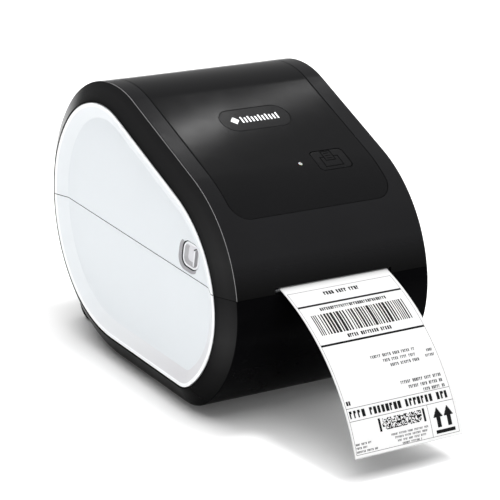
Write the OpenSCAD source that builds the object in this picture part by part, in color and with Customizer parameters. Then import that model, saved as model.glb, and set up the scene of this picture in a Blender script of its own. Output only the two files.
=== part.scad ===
// Desktop thermal label printer: a clamshell with a rear hinge, a round-backed side outline and
// dished side covers. +X is the printer's left-to-right width seen from the front, -Y is the front
// where the label comes out, +Z is up, and z = 0 is the table under the feet.

/* [Case] */
// Width of the black barrel between its two side creases
barrel_w = 182; // [178:1:190]
// How far each sloping side ring stands out past the crease
ring_w = 10; // [8:0.5:12]
// How far each side ring draws in towards the side cover
ring_in = 15; // [14:0.5:16]
// Wall thickness of the black shells
wall = 2.6; // [2:0.1:3]
// Height of the flat bottom above the table
foot_h = 5; // [4:0.5:6]
// Height of the joint between lid and base
seam_z = 106; // [105:0.5:107]
// Gap along the joint between lid and base
seam_gap = 0.3; // [0.2:0.05:0.5]
// Front end of the flat bottom
flat_y = -26; // [-27:0.5:-25]

/* [Side outline] */
// Radius behind the flat bottom
rear_low_r = 106; // [104:1:108]
// Radius of the lower back
back_r = 132; // [130:1:134]
// Radius of the upper back
rear_top_r = 98; // [96:1:100]
// Radius over the top
top_r = 68; // [66:1:70]
// Radius of the brow below the sloping top
brow_r = 116; // [114:1:118]
// Radius of the front face
face_r = 86; // [85:1:88]
// Radius of the chin under the front face
chin_r = 34; // [33:1:35]

/* [Side covers] */
// Width of the raised rim of each side cover
rim_w = 2.6; // [2:0.1:3]
// Width of the band that slopes down from the rim
band_w = 10; // [9:0.5:11]
// Depth of the dished face below the rim
dish_d = 5.5; // [4.5:0.5:6]
// Wall thickness of the side covers
cover_t = 2.4; // [2:0.1:2.6]

/* [Label and roll] */
// Width of the label on its liner
label_w = 103; // [100:1:104]
// Thickness of the label and liner
label_t = 0.25; // [0.2:0.05:0.3]
// Radius of the printed label's droop
droop_r = 170; // [168:1:175]
// Radius of the roll of labels
roll_r = 50.3; // [44:0.1:50.3]
// Radius of the bore in the cardboard core
core_bore_r = 12.7; // [12.6:0.1:12.9]

/* [Drive] */
// Gear module
gear_m = 1; // [1:1:1]
// Radius of the platen roller
platen_r = 8; // [7.5:0.5:8]
// Teeth on the platen gear
platen_teeth = 24; // [24:1:24]
// Teeth on the idler gear
idler_teeth = 30; // [30:1:30]
// Teeth on the motor pinion
pinion_teeth = 14; // [14:1:14]
// Teeth on the pinion between the roll holders
holder_teeth = 16; // [16:1:16]

/* [Controls] */
// Width of the feed button
button_w = 31.5; // [28:0.5:34]
// Length of the feed button up the slope
button_l = 21; // [18:0.5:22]
// Width and length of the blank badge plate
badge_size = [65, 24.5];
// Width and height of each latch button
latch_size = [21, 20.2];

/* [Hidden] */
$fn = 48;

eps = 0.01;
big = 400;
fit = 0.05;                       // running clearance of a shaft in its bore
side_x = barrel_w / 2 + ring_w;   // outer face of the side covers' rims
face_x = side_x - dish_d;         // outer face of the dished area
seam_top = seam_z + seam_gap / 2;
seam_low = seam_z - seam_gap / 2;

// ---- Side outline: seven tangent arcs and two straight runs, anticlockwise with +Y to the right
arcs = [[rear_low_r, 42.5], [back_r, 45], [rear_top_r, 35], [top_r, 78],
    [brow_r, 53.5], [face_r, 62.5], [chin_r, 43.5]];
slope_i = 4;                      // the straight slope comes before this arc
arc_step_deg = 5;
function head(i) = i == 0 ? 0 : head(i - 1) + arcs[i - 1][1];
function arc_move(i) = arcs[i][0]
    * [sin(head(i + 1)) - sin(head(i)), cos(head(i)) - cos(head(i + 1))];
function arc_sum(i) = i < 0 ? [0, 0] : arc_sum(i - 1) + arc_move(i);
arc_total = arc_sum(len(arcs) - 1);
slope_head = head(slope_i);
slope_len = -arc_total[1] / sin(slope_head);
flat_len = -arc_total[0] - slope_len * cos(slope_head);
function arc_start(i) = i == 0 ? [flat_y + flat_len, foot_h]
    : arc_start(i - 1) + arc_move(i - 1)
        + (i == slope_i ? slope_len * [cos(slope_head), sin(slope_head)] : [0, 0]);
function arc_centre(i) = arc_start(i) + arcs[i][0] * [-sin(head(i)), cos(head(i))];
function arc_point(i, a, t) = arc_centre(i) + (arcs[i][0] - t) * [sin(a), -cos(a)];
function arc_count(i) = ceil(arcs[i][1] / arc_step_deg);
// The outline drawn in by t
function outline(t) = [for (i = [0 : len(arcs) - 1])
    for (k = [(i == 0 || i == slope_i ? 0 : 1) : arc_count(i)])
        arc_point(i, head(i) + arcs[i][1] * k / arc_count(i), t)];
all_points = function(t) concat(outline(t), [[flat_y, foot_h + t]]);

slope_deg = slope_head - 180;     // rise of the sloping top towards the back
slope_low = arc_start(slope_i);   // lower end of the slope

// ---- Label path: straight down from the roll at exit_deg, then a drooping arc outside
exit_deg = 15;
end_deg = 64;
exit_at = [-69, 109.5];
path_n = [-sin(exit_deg), cos(exit_deg)];
roll_at = [62, 92];
roll_gap = (exit_at - roll_at) * path_n;
web_top = roll_at + roll_gap * path_n;
droop_steps = 14;
function droop(k) = let (a = exit_deg + (end_deg - exit_deg) * k / droop_steps)
    exit_at + droop_r * [sin(exit_deg) - sin(a), cos(a) - cos(exit_deg)];
function droop_n(k) = let (a = exit_deg + (end_deg - exit_deg) * k / droop_steps)
    [-sin(a), cos(a)];

// ---- Print line and gear train
nip_y = -48;
nip = [nip_y, exit_at[1] + (nip_y - exit_at[0]) * tan(exit_deg)];
platen_at = nip - path_n * (platen_r + label_t / 2 + 0.15);
mesh_gap = 0.1;
idler_dir = -80;
motor_dir = -40;
function toward(p, r, a) = p + r * [cos(a), sin(a)];
idler_at = toward(platen_at, (platen_teeth + idler_teeth) * gear_m / 2 + mesh_gap, idler_dir);
motor_at = toward(idler_at, (idler_teeth + pinion_teeth) * gear_m / 2 + mesh_gap, motor_dir);
platen_phase = idler_dir;
idler_phase = idler_dir + 180 + 180 / idler_teeth;
pinion_phase = motor_dir + 180 - (idler_phase - motor_dir) * idler_teeth / pinion_teeth
    + 180 / pinion_teeth;
gear_x = 61.5;
gear_w = 5.5;

// ---- Inside the base
cheek_x = 57;
cheek_t = 3;
tray_x = 80;
tray_z = 24;
tray_wall = 2;
post_x = 72;
post_ys = [12, 50];
board_z = 12;
port_y = 149;                     // outer face of the recessed port panel
port_low = 52;
port_high = 90;
port_x = 50;
port_z = 70;
leg_x = 65;
leg_w = 16;
front_foot = [64, -10];
rear_foot = [65, 128];

// ---- Hinge
hinge_at = [176.5, seam_z];
knuckle_r = 4.5;
hinge_r = 2;
hinge_x = [62, 84];

// ---- Head, in the frame of the label path at the print line
head_pin = [27, 8];
head_pin_r = 2;
head_w = 54;
beam_z = 17;

// ---- Latches
latch_at = [-14.3, 120.5];
latch_travel = 3;
latch_face = face_x - 1.2;
stem_r = 3;

// ---- Roll holders
rack_r = holder_teeth * gear_m / 2;
rack_z = [28, 33];

// ---- General shapes
// The outline drawn in by t, between two places along X
module slab(x0, x1, t) {
    translate([min(x0, x1), 0, 0]) rotate([90, 0, 90])
        linear_extrude(abs(x1 - x0)) polygon(all_points(t));
}
module below(z) translate([-big / 2, -big / 2, z - big]) cube(big);
module above(z) translate([-big / 2, -big / 2, z]) cube(big);
// A round bar along X
module rod_x(x0, x1, at, r) {
    translate([min(x0, x1), at[0], at[1]]) rotate([0, 90, 0]) cylinder(r = r, h = abs(x1 - x0));
}
module rod_y(y0, y1, x, z, r) translate([x, y1, z]) rotate([90, 0, 0]) cylinder(r = r, h = y1 - y0);
module rod_z(z0, z1, x, y, r) translate([x, y, z0]) cylinder(r = r, h = z1 - z0);
module block(x, y, z) translate([x[0], y[0], z[0]]) cube([x[1] - x[0], y[1] - y[0], z[1] - z[0]]);
module side_block(s, x, y, z) block(s > 0 ? x : [-x[1], -x[0]], y, z);
module side_rod(s, x0, x1, at, r) rod_x(s * x0, s * x1, at, r);
// A prism along X from points in the YZ plane
module plate_x(x0, x1, points) {
    translate([min(x0, x1), 0, 0]) rotate([90, 0, 90]) linear_extrude(abs(x1 - x0)) polygon(points);
}
// A rectangle with round corners, centred
module round_rect(w, l, r) {
    square([w - 2 * r, l], center = true);
    square([w, l - 2 * r], center = true);
    for (i = [-1, 1], j = [-1, 1]) translate([i * (w / 2 - r), j * (l / 2 - r)]) circle(r);
}
// Places children on the sloping top: x across, y up the slope, z out of it
module on_slope() translate([0, slope_low[0], slope_low[1]]) rotate([slope_deg, 0, 0]) children();
// Places children on the label path at the print line: y back along the label, z out of its face
module on_path() translate([0, nip[0], nip[1]]) rotate([exit_deg, 0, 0]) children();
// Places children on the side at the latch, x across the cover (rearwards), y up, z outwards
module on_side(s, x, at) translate([s * x, at[0], at[1]]) rotate([90, 0, s * 90]) children();

// ---- Gears: involute teeth with backlash, along X
function inv(a) = tan(a) * 180 / PI - a;
pressure_deg = 20;
backlash = 0.08;
// Half of a tooth's angle at radius r, for a gear with n teeth
function half_tooth(n, r) = let (p = n * gear_m / 2, b = p * cos(pressure_deg))
    90 / n - backlash / p * 90 / PI + inv(pressure_deg) - inv(acos(min(1, b / max(r, b))));
function tooth_radii(n) = let (p = n * gear_m / 2)
    [p - 1.2 * gear_m, p - 0.45 * gear_m, p + 0.25 * gear_m, p + 0.9 * gear_m];
function on_circle(r, a) = r * [cos(a), sin(a)];
function gear_points(n, phase) = [for (i = [0 : n - 1], k = [0 : 7])
    let (up = k < 4, j = up ? k : 7 - k, r = tooth_radii(n)[j])
        on_circle(r, phase + 360 * i / n + (up ? -1 : 1) * half_tooth(n, r))];
module gear(n, phase, w) linear_extrude(w) polygon(gear_points(n, phase));
module gear_x_at(n, phase, at, x, w) {
    translate([x, at[0], at[1]]) rotate([90, 0, 90]) gear(n, phase, w);
}

// ---- Outer shells
module skin() {
    inner_in = ring_in + 5.4;
    lip_x = side_x - 3.1;
    difference() {
        hull() {
            slab(-barrel_w / 2, barrel_w / 2, 0);
            slab(-side_x, side_x, ring_in);
        }
        hull() {
            slab(-barrel_w / 2 + 1.4, barrel_w / 2 - 1.4, wall);
            slab(-side_x - 0.5, side_x + 0.5, inner_in);
        }
        for (s = [-1, 1]) slab(s * lip_x, s * (side_x + 1), ring_in);
    }
}
// Room for the hinge knuckles through the rear wall
module hinge_notches(low, high) {
    for (s = [-1, 1]) side_block(s, [hinge_x[0] - 0.5, hinge_x[1] + 0.5], [160, 200], [low, high]);
}
leg_r = 16;
leg_points = concat([[112, 40], [118, 1.5]],
    [for (a = [-90 : 10 : 0]) [136, 1.5 + leg_r] + on_circle(leg_r, a)], [[152, 60]]);

module base_shell() color([0.05, 0.05, 0.055]) {
    difference() {
        intersection() {
            skin();
            below(seam_low);
        }
        block([-80.2, 80.2], [-20.2, 60.2], [foot_h - 1, foot_h + wall + 0.1]);
        block([-port_x, port_x], [port_y, 190], [port_low, port_high]);
        block([-56, 56], [150, 190], [97, 103]);
        hinge_notches(98, 120);
    }
}
// Two stands under the round back, fixed to the shell
module rear_legs() color([0.05, 0.05, 0.055]) {
    for (s = [-1, 1]) difference() {
        plate_x(s * (leg_x - leg_w / 2), s * (leg_x + leg_w / 2), leg_points);
        slab(-100, 100, -0.02);
        rod_z(0, 4.5, s * rear_foot[0], rear_foot[1], 3);
    }
}

panel_x = 75.5;
panel_t = 1.2;
panel_low = -42.5;
panel_high = 140;
// The panel's footprint as a prism through the sloping top
module panel_prism(grow) on_slope() translate([0, (panel_low + panel_high) / 2, -30])
    linear_extrude(60) round_rect(2 * (panel_x + grow), panel_high - panel_low + 2 * grow, 15 + grow);
button_u = -1.8;
button_c = 38.3;
led_c = 8.5;
module button_prism(grow, z0, z1) on_slope() translate([button_c, button_u, z0])
    linear_extrude(z1 - z0) round_rect(button_w + 2 * grow, button_l + 2 * grow, 4 + grow);
module led_hole(r, z0, z1) on_slope() translate([led_c, button_u, z0]) cylinder(r = r, h = z1 - z0);
badge_u = 53.6;
badge_c = 1.2;
module badge_prism(grow, z0, z1) on_slope() translate([badge_c, badge_u, z0]) linear_extrude(z1 - z0)
    round_rect(badge_size[0] + 2 * grow, badge_size[1] + 2 * grow, badge_size[1] / 2 - 0.05 + grow);

board_posts = [for (x = [0, 58.8], u = [-12.5, 10.5]) [x, u]];
module lid_shell() color([0.1, 0.1, 0.105]) {
    difference() {
        union() {
            intersection() {
                skin();
                above(seam_top);
            }
            on_slope() for (p = board_posts) translate([p[0], p[1], -8.4]) cylinder(r = 2, h = 6.4);
        }
        intersection() {
            difference() {
                slab(-80, 80, -5);
                slab(-81, 81, panel_t + 0.05);
            }
            panel_prism(0.15);
        }
        button_prism(0.4, -10, 5);
        led_hole(2.2, -10, 5);
        block([-55.5, 55.5], [-80, -60], [100, 110.4]);
        hinge_notches(100, 113);
    }
}
module top_panel() color([0.13, 0.13, 0.135]) {
    difference() {
        intersection() {
            difference() {
                slab(-panel_x, panel_x, 0);
                slab(-80, 80, panel_t);
            }
            panel_prism(0);
        }
        button_prism(0.3, -10, 5);
        led_hole(1.85, -10, 5);
        badge_prism(0.1, -0.55, 5);
    }
}
module badge_plate() color([0.2, 0.2, 0.2]) badge_prism(0, -0.5, 0);
module led_lens() color([0.8, 0.85, 0.9]) led_hole(1.8, -5, -0.1);
button_rest = 0.9;                // free travel over the switch on the board
flange_z = [-4.4, -3.7];
module feed_button() color([0.16, 0.16, 0.165]) {
    intersection() {
        slab(0, 80, 0);
        button_prism(0, flange_z[1] - 0.1, 2);
    }
    button_prism(1.4, flange_z[0], flange_z[1]);
}
module button_board() color([0.1, 0.35, 0.18]) {
    on_slope() {
        translate([-4, -16, -10]) cube([66, 30, 1.6]);
        translate([button_c - 3, button_u - 3, -8.4]) cube([6, 6, 2.4]);
        translate([button_c, button_u, -6.1]) cylinder(r = 1.6, h = 6.1 + flange_z[0] - button_rest);
        translate([led_c - 1.5, button_u - 1.5, -8.4]) cube([3, 3, 1.6]);
    }
}

// ---- Side covers: caps with a raised rim and a dished face
module cover_cap(s) {
    rim_in = ring_in + 0.3;
    skirt = 2.2;
    back_x = side_x - 7.5;
    inner_lip = side_x - cover_t - 0.06;
    difference() {
        slab(s * back_x, s * side_x, rim_in);
        hull() {
            slab(s * side_x, s * (side_x + 0.1), rim_in + rim_w);
            slab(s * face_x, s * (face_x + 0.1), rim_in + rim_w + band_w);
        }
        difference() {
            slab(s * (back_x - 1), s * inner_lip, rim_in + skirt);
            hull() {
                slab(s * (inner_lip - 0.1), s * inner_lip, rim_in + skirt);
                slab(s * (face_x - cover_t), s * (face_x - cover_t + 0.1), rim_in + rim_w + band_w - 1);
            }
        }
    }
}
module latch_outline(grow) round_rect(latch_size[0] + 2 * grow, latch_size[1] + 2 * grow, 7 + grow);
module lower_cover(s) color([0.92, 0.94, 0.95]) {
    intersection() {
        cover_cap(s);
        below(seam_low);
    }
}
module upper_cover(s) color([0.92, 0.94, 0.95]) {
    collar_x = face_x - 8;
    difference() {
        union() {
            intersection() {
                cover_cap(s);
                above(seam_top);
            }
            on_side(s, collar_x, latch_at) linear_extrude(7) latch_outline(1.9);
        }
        on_side(s, collar_x - 1, latch_at) linear_extrude(20) latch_outline(0.35);
        on_side(s, face_x - 1, latch_at) linear_extrude(20) latch_outline(2.5);
    }
}
module lower_cover_left() lower_cover(-1);
module lower_cover_right() lower_cover(1);
module upper_cover_left() upper_cover(-1);
module upper_cover_right() upper_cover(1);

// ---- Side latches: a dished push button, a guide stem and a hooked arm
module latch_button(s) color([0.86, 0.87, 0.89]) {
    inner_x = 84;
    scoop_r = 15;
    union() {
        difference() {
            on_side(s, inner_x, latch_at) linear_extrude(latch_face - inner_x) latch_outline(0);
            for (e = [-1, 1]) translate([s * (latch_face + scoop_r - 2.6), latch_at[0] + e * 5, 0])
                intersection() {
                    rod_z(latch_at[1] - 7.5, latch_at[1] + 7.5, 0, 0, scoop_r);
                    block([-20, 20], e > 0 ? [-4.3, 20] : [-20, 4.3], [0, 200]);
                }
        }
        side_rod(s, 73, inner_x + eps, latch_at, stem_r);
        side_block(s, [inner_x, inner_x + 2], [latch_at[0] - 4, latch_at[0] + 4], [96, latch_at[1] - 9.9]);
        side_block(s, [inner_x, inner_x + 2.7], [latch_at[0] - 4, latch_at[0] + 4], [96, 100.5]);
    }
}
module latch_button_left() latch_button(-1);
module latch_button_right() latch_button(1);
module latch_springs() color([0.75, 0.75, 0.78]) {
    for (s = [-1, 1]) difference() {
        side_rod(s, 78.7, 83.8, latch_at, 5);
        side_rod(s, 78, 84.5, latch_at, 3.8);
    }
}
module latch_strikers() color([0.7, 0.7, 0.72]) {
    for (s = [-1, 1]) difference() {
        union() {
            side_block(s, [tray_x, 90], [-25, -4], [101, 104]);
            side_block(s, [tray_x, tray_x + 0.8], [-25, -4], [86, 104]);
        }
        side_block(s, [tray_x + 0.8, 87], [latch_at[0] - 4.5, latch_at[0] + 4.5], [100, 105]);
    }
}

// ---- Base
module bottom_plate() color([0.08, 0.08, 0.085]) {
    difference() {
        union() {
            block([-80, 80], [-20, 60], [foot_h, foot_h + 2.4]);
            for (i = [-1, 1], y = [-8, 50]) rod_z(foot_h + 2, board_z, i * 50, y, 3.5);
        }
        for (i = [-1, 1], y = post_ys) {
            rod_z(0, 20, i * post_x, y, 1.7);
            rod_z(0, foot_h + 1.2, i * post_x, y, 3.2);
        }
        for (i = [-1, 1], y = [-8, 50]) rod_z(8, 20, i * 50, y, 1.52);
        for (i = [-1, 1]) rod_z(0, foot_h + 1.2, i * front_foot[0], front_foot[1], 3);
    }
}
module rubber_feet() color([0.03, 0.03, 0.03]) {
    for (s = [-1, 1]) {
        rod_z(0, foot_h, s * front_foot[0], front_foot[1], 8);
        rod_z(foot_h - eps, foot_h + 1.2, s * front_foot[0], front_foot[1], 3);
        rod_z(0, 1.5, s * rear_foot[0], rear_foot[1], 6.5);
        rod_z(1.5 - eps, 4.5, s * rear_foot[0], rear_foot[1], 3);
    }
}
module case_screws() color([0.6, 0.6, 0.62]) {
    for (i = [-1, 1], y = post_ys) {
        rod_z(foot_h + 0.2, foot_h + 1.2, i * post_x, y, 2.8);
        rod_z(foot_h + 1.2 - eps, 18, i * post_x, y, 1.5);
    }
}
module media_tray() color([0.16, 0.16, 0.17]) {
    walls = [[1, 96], [1, tray_z], [112, tray_z], [122, 60], [130, 94],
        [128, 94], [120, 60.6], [110.6, tray_z + tray_wall], [3, tray_z + tray_wall], [3, 96]];
    difference() {
        union() {
            plate_x(-tray_x + 1, tray_x - 1, walls);
            for (s = [-1, 1]) intersection() {
                slab(s * (tray_x - tray_wall), s * tray_x, 4);
                block([-90, 90], [-30, 146], [tray_z, 104]);
            }
            for (i = [-1, 1], y = post_ys) rod_z(foot_h + 2.4, tray_z + 1, i * post_x, y, 4.5);
        }
        for (i = [-1, 1], y = post_ys) rod_z(0, 20, i * post_x, y, 1.52);
    }
}
module main_board() color([0.06, 0.3, 0.15]) {
    difference() {
        union() {
            block([-55, 55], [-14, 56], [board_z, board_z + 1.6]);
            block([-14, 6], [10, 30], [board_z + 1.5, board_z + 3.2]);
            block([18, 32], [8, 18], [board_z + 1.5, board_z + 3]);
            block([-44, -32], [36, 52], [board_z + 1.5, board_z + 8]);
            block([34, 46], [30, 40], [board_z + 1.5, board_z + 8]);
            for (x = [-36, -24]) rod_z(board_z + 1.5, board_z + 9, x, 2, 4);
            for (x = [-12, 8, 28]) block([x, x + 14], [44, 50], [board_z + 1.5, board_z + 7]);
        }
        for (i = [-1, 1], y = [-8, 50]) rod_z(0, 40, i * 50, y, 1.7);
    }
}
module board_screws() color([0.6, 0.6, 0.62]) {
    for (i = [-1, 1], y = [-8, 50]) {
        rod_z(board_z + 1.6, board_z + 3.2, i * 50, y, 2.8);
        rod_z(8.5, board_z + 1.7, i * 50, y, 1.5);
    }
}
jack_x = -34;
usb_x = -8;
switch_x = 28;
// Walls of the recess round the ports
module port_surround() color([0.07, 0.07, 0.075]) difference() {
    intersection() {
        block([-port_x - 2, port_x + 2], [port_y - 2, 190], [port_low - 2, port_high + 2]);
        slab(-60, 60, wall + 0.05);
    }
    block([-port_x, port_x], [100, 191], [port_low, port_high]);
}
module rear_panel() color([0.07, 0.07, 0.075]) {
    difference() {
        block([-port_x + 0.05, port_x - 0.05], [port_y - 2, port_y], [port_low + 0.05, port_high - 0.05]);
        rod_y(140, 160, jack_x, port_z, 4.3);
        block([usb_x - 6.1, usb_x + 6.1], [140, 160], [port_z - 5.6, port_z + 5.6]);
        block([switch_x - 9.6, switch_x + 9.6], [140, 160], [port_z - 6.6, port_z + 6.6]);
    }
}
jack_r = 2.9;
module dc_jack() color([0.05, 0.05, 0.05]) {
    difference() {
        union() {
            block([jack_x - 7, jack_x + 7], [133, 146.8], [port_z - 5.5, port_z + 5.5]);
            rod_y(146, 150, jack_x, port_z, 4.2);
        }
        rod_y(139, 151, jack_x, port_z, jack_r);
    }
    rod_y(138, 148.5, jack_x, port_z, 1.25);
}
module usb_port() color([0.75, 0.75, 0.77]) {
    difference() {
        block([usb_x - 6, usb_x + 6], [133, 149.6], [port_z - 5.5, port_z + 5.5]);
        block([usb_x - 4.3, usb_x + 4.3], [139, 160], [port_z - 4, port_z + 4]);
    }
    block([usb_x - 2.8, usb_x + 2.8], [138, 148], [port_z - 1.6, port_z + 1.6]);
}
rocker_at = [switch_x, 145];
module switch_housing() color([0.04, 0.04, 0.04]) {
    difference() {
        union() {
            block([switch_x - 9.5, switch_x + 9.5], [134, 149.2], [port_z - 6.5, port_z + 6.5]);
            block([switch_x - 10.8, switch_x + 10.8], [149, 150.4], [port_z - 7.8, port_z + 7.8]);
        }
        block([switch_x - 8.7, switch_x + 8.7], [138, 160], [port_z - 5.4, port_z + 5.4]);
    }
    rod_z(port_z - 5.6, port_z + 5.6, rocker_at[0], rocker_at[1], 1);
}
module power_rocker() color([0.1, 0.1, 0.1]) {
    lean = 7;
    translate([rocker_at[0], rocker_at[1], port_z - 5.1]) rotate([0, 0, -lean]) difference() {
        linear_extrude(10.2) polygon([[-7.9, 6.4], [-6.2, -2.5], [6.2, -2.5], [7.9, 6.4], [0, 5.2]]);
        translate([0, 0, -1]) cylinder(r = 1 + fit, h = 13);
    }
}
module hinge_brackets() color([0.12, 0.12, 0.125]) {
    ears = [[hinge_x[0], 67], [79, hinge_x[1]]];
    for (s = [-1, 1]) difference() {
        union() {
            for (e = ears) {
                side_rod(s, e[0], e[1], hinge_at, knuckle_r);
                side_block(s, e, [165, hinge_at[0]], [98.3, hinge_at[1] - 0.3]);
            }
            intersection() {
                side_block(s, hinge_x, [163, 176], [84, 99.5]);
                slab(-90, 90, wall + 0.1);
            }
        }
        side_rod(s, hinge_x[0] - 1, hinge_x[1] + 1, hinge_at, hinge_r);
    }
}
module hinge_pins() color([0.75, 0.75, 0.78]) {
    for (s = [-1, 1]) side_rod(s, hinge_x[0], hinge_x[1], hinge_at, hinge_r);
}

// ---- Roll of labels and its holders
module label_roll() color([0.95, 0.95, 0.94]) difference() {
    rod_x(-label_w / 2, label_w / 2, roll_at, roll_r);
    rod_x(-60, 60, roll_at, core_bore_r + 3.2);
}
module roll_core() color([0.62, 0.47, 0.32]) difference() {
    rod_x(-label_w / 2 - 0.5, label_w / 2 + 0.5, roll_at, core_bore_r + 3.2);
    rod_x(-60, 60, roll_at, core_bore_r);
}
module label_strip() color([0.97, 0.97, 0.97]) {
    upper = concat([web_top + path_n * label_t / 2],
        [for (k = [0 : droop_steps]) droop(k) + droop_n(k) * label_t / 2]);
    lower = concat([for (k = [droop_steps : -1 : 0]) droop(k) - droop_n(k) * label_t / 2],
        [web_top - path_n * label_t / 2]);
    plate_x(-label_w / 2, label_w / 2, concat(upper, lower));
}
holder_travel = 16;
rack_back = 3.4;
// A rack along X: its teeth point along +Y from a back bar, with a gap centred on x = 0
function rack_tooth(c) = [[c - 1.15, -1.2], [c - 0.32, 0.9], [c + 0.32, 0.9], [c + 1.15, -1.2]];
module rack(x0, x1) linear_extrude(rack_z[1] - rack_z[0]) polygon(concat(
    [[x0, -1.2 - rack_back], [x0, -1.2]],
    [for (i = [ceil(x0 / PI + 0.5) : floor(x1 / PI - 1)]) each rack_tooth(PI * (i + 0.5))],
    [[x1, -1.2], [x1, -1.2 - rack_back]]));
module roll_holder(s) color([0.14, 0.3, 0.25]) {
    arm_x = label_w / 2 + 1.6;
    union() {
        side_rod(s, arm_x, arm_x + 3, roll_at, 17);
        side_rod(s, arm_x - 11, arm_x + eps, roll_at, core_bore_r - 0.4);
        side_block(s, [arm_x, arm_x + 3], [roll_at[0] - 7, roll_at[0] + 7], [rack_z[0], roll_at[1]]);
        side_block(s, [arm_x - 4, arm_x + 6], [roll_at[0] - 15, roll_at[0] + 15], [rack_z[0], rack_z[1]]);
        translate([0, roll_at[0] + s * rack_r, rack_z[0]]) rotate([0, 0, s > 0 ? 180 : 0])
            rack(-arm_x - 1, 30);
    }
}
module roll_holder_left() roll_holder(-1);
module roll_holder_right() roll_holder(1);
module holder_pinion() color([0.85, 0.85, 0.8]) difference() {
    translate([0, roll_at[0], rack_z[0]]) gear(holder_teeth, 90, rack_z[1] - rack_z[0]);
    rod_z(0, 50, 0, roll_at[0], 2.55);
}
module holder_track() color([0.2, 0.2, 0.21]) {
    block([-76, 76], [42, 82], [tray_z + tray_wall, tray_z + tray_wall + 1.2]);
    for (y = [42, 78.4]) block([-76, 76], [y, y + 3.6], [tray_z + tray_wall, rack_z[1] + 1]);
    rod_z(tray_z + tray_wall, rack_z[1], 0, roll_at[0], 2.5);
}

// ---- Print mechanism in the base
module feed_frame() color([0.3, 0.3, 0.31]) {
    cheek = [[-64, 45], [-4, 45], [-4, 112], [-12, 124], [-38, 117], [-54, 116], [-62, 106], [-66, 92], [-66, 52]];
    bar_x = cheek_x + 1;
    difference() {
        union() {
            for (s = [-1, 1]) plate_x(s * cheek_x, s * (cheek_x + cheek_t), cheek);
            block([-bar_x, bar_x], [-60, -5], [45.8, 48.3]);
            block([-bar_x, bar_x], [-66.8, -63.5], [88, 103]);
            on_path() translate([-bar_x, 11, -3.4]) cube([2 * bar_x, 24, 2]);
        }
        rod_x(-70, 70, platen_at, 5.02);
        rod_x(50, 70, motor_at, 6);
        rod_x(50, 70, idler_at, 2.5);
        on_path() translate([0, 23, -5]) cylinder(r = 2, h = 6);
        for (p = motor_screw_at) rod_x(50, 70, p, 1.6);
    }
}
motor_screw_at = [motor_at + [13, 13], motor_at + [-13, -13]];
module motor_screws() color([0.6, 0.6, 0.62]) {
    for (p = motor_screw_at) {
        rod_x(cheek_x + cheek_t, cheek_x + cheek_t + 1.2, p, 2.8);
        rod_x(cheek_x - 5, cheek_x + cheek_t + eps, p, 1.5);
    }
}
module drive_motor() color([0.55, 0.56, 0.58]) difference() {
    translate([cheek_x - 32, motor_at[0] - 17.5, motor_at[1] - 17.5]) cube([32, 35, 35]);
    rod_x(cheek_x - 12, cheek_x + 1, motor_at, 2.6);
    for (p = motor_screw_at) rod_x(cheek_x - 6, cheek_x + 1, p, 1.52);
}
module motor_pinion() color([0.8, 0.7, 0.4]) union() {
    gear_x_at(pinion_teeth, pinion_phase, motor_at, gear_x, gear_w);
    rod_x(cheek_x - 11, gear_x + gear_w + 1, motor_at, 2.5);
}
module idler_gear() color([0.9, 0.9, 0.86]) difference() {
    gear_x_at(idler_teeth, idler_phase, idler_at, gear_x, gear_w);
    rod_x(50, 80, idler_at, 2.55);
    rod_x(gear_x + 3.5, 80, idler_at, 11);
}
module idler_pin() color([0.75, 0.75, 0.78]) union() {
    rod_x(cheek_x, gear_x + 4.5, idler_at, 2.5);
    rod_x(gear_x + 4, gear_x + 5.2, idler_at, 4);
}
module platen_gear() color([0.9, 0.9, 0.86]) difference() {
    gear_x_at(platen_teeth, platen_phase, platen_at, gear_x, gear_w);
    rod_x(50, 80, platen_at, 3);
}
module platen_shaft() color([0.75, 0.75, 0.78]) union() {
    rod_x(-cheek_x - 5, gear_x + gear_w + 1, platen_at, 3);
}
module platen_rubber() color([0.12, 0.12, 0.12]) difference() {
    rod_x(-head_w, head_w, platen_at, platen_r);
    rod_x(-80, 80, platen_at, 3);
}
module platen_bushes() color([0.85, 0.8, 0.6]) {
    for (s = [-1, 1]) difference() {
        union() {
            side_rod(s, cheek_x, cheek_x + cheek_t, platen_at, 5);
            side_rod(s, cheek_x - 1.2, cheek_x, platen_at, 6.5);
        }
        rod_x(-80, 80, platen_at, 3 + fit);
    }
}
module tear_bar() color([0.8, 0.8, 0.82]) {
    pitch = 2;
    translate([0, -67.1, 0]) rotate([90, 0, 0]) linear_extrude(1.2) polygon(concat(
        [[-head_w, 96]],
        [for (x = [-head_w : pitch : head_w - pitch]) each [[x, 107.6], [x + pitch / 2, 108.8]]],
        [[head_w, 107.6], [head_w, 96]]));
}
module label_sensor() color([0.1, 0.1, 0.12]) {
    on_path() {
        translate([-9, 15, -8.4]) cube([18, 16, 1.2]);
        translate([-5, 19, -7.3]) cube([10, 8, 3.7]);
        translate([0, 23, -3.8]) cylinder(r = 1.6, h = 1.6);
    }
}

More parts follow.
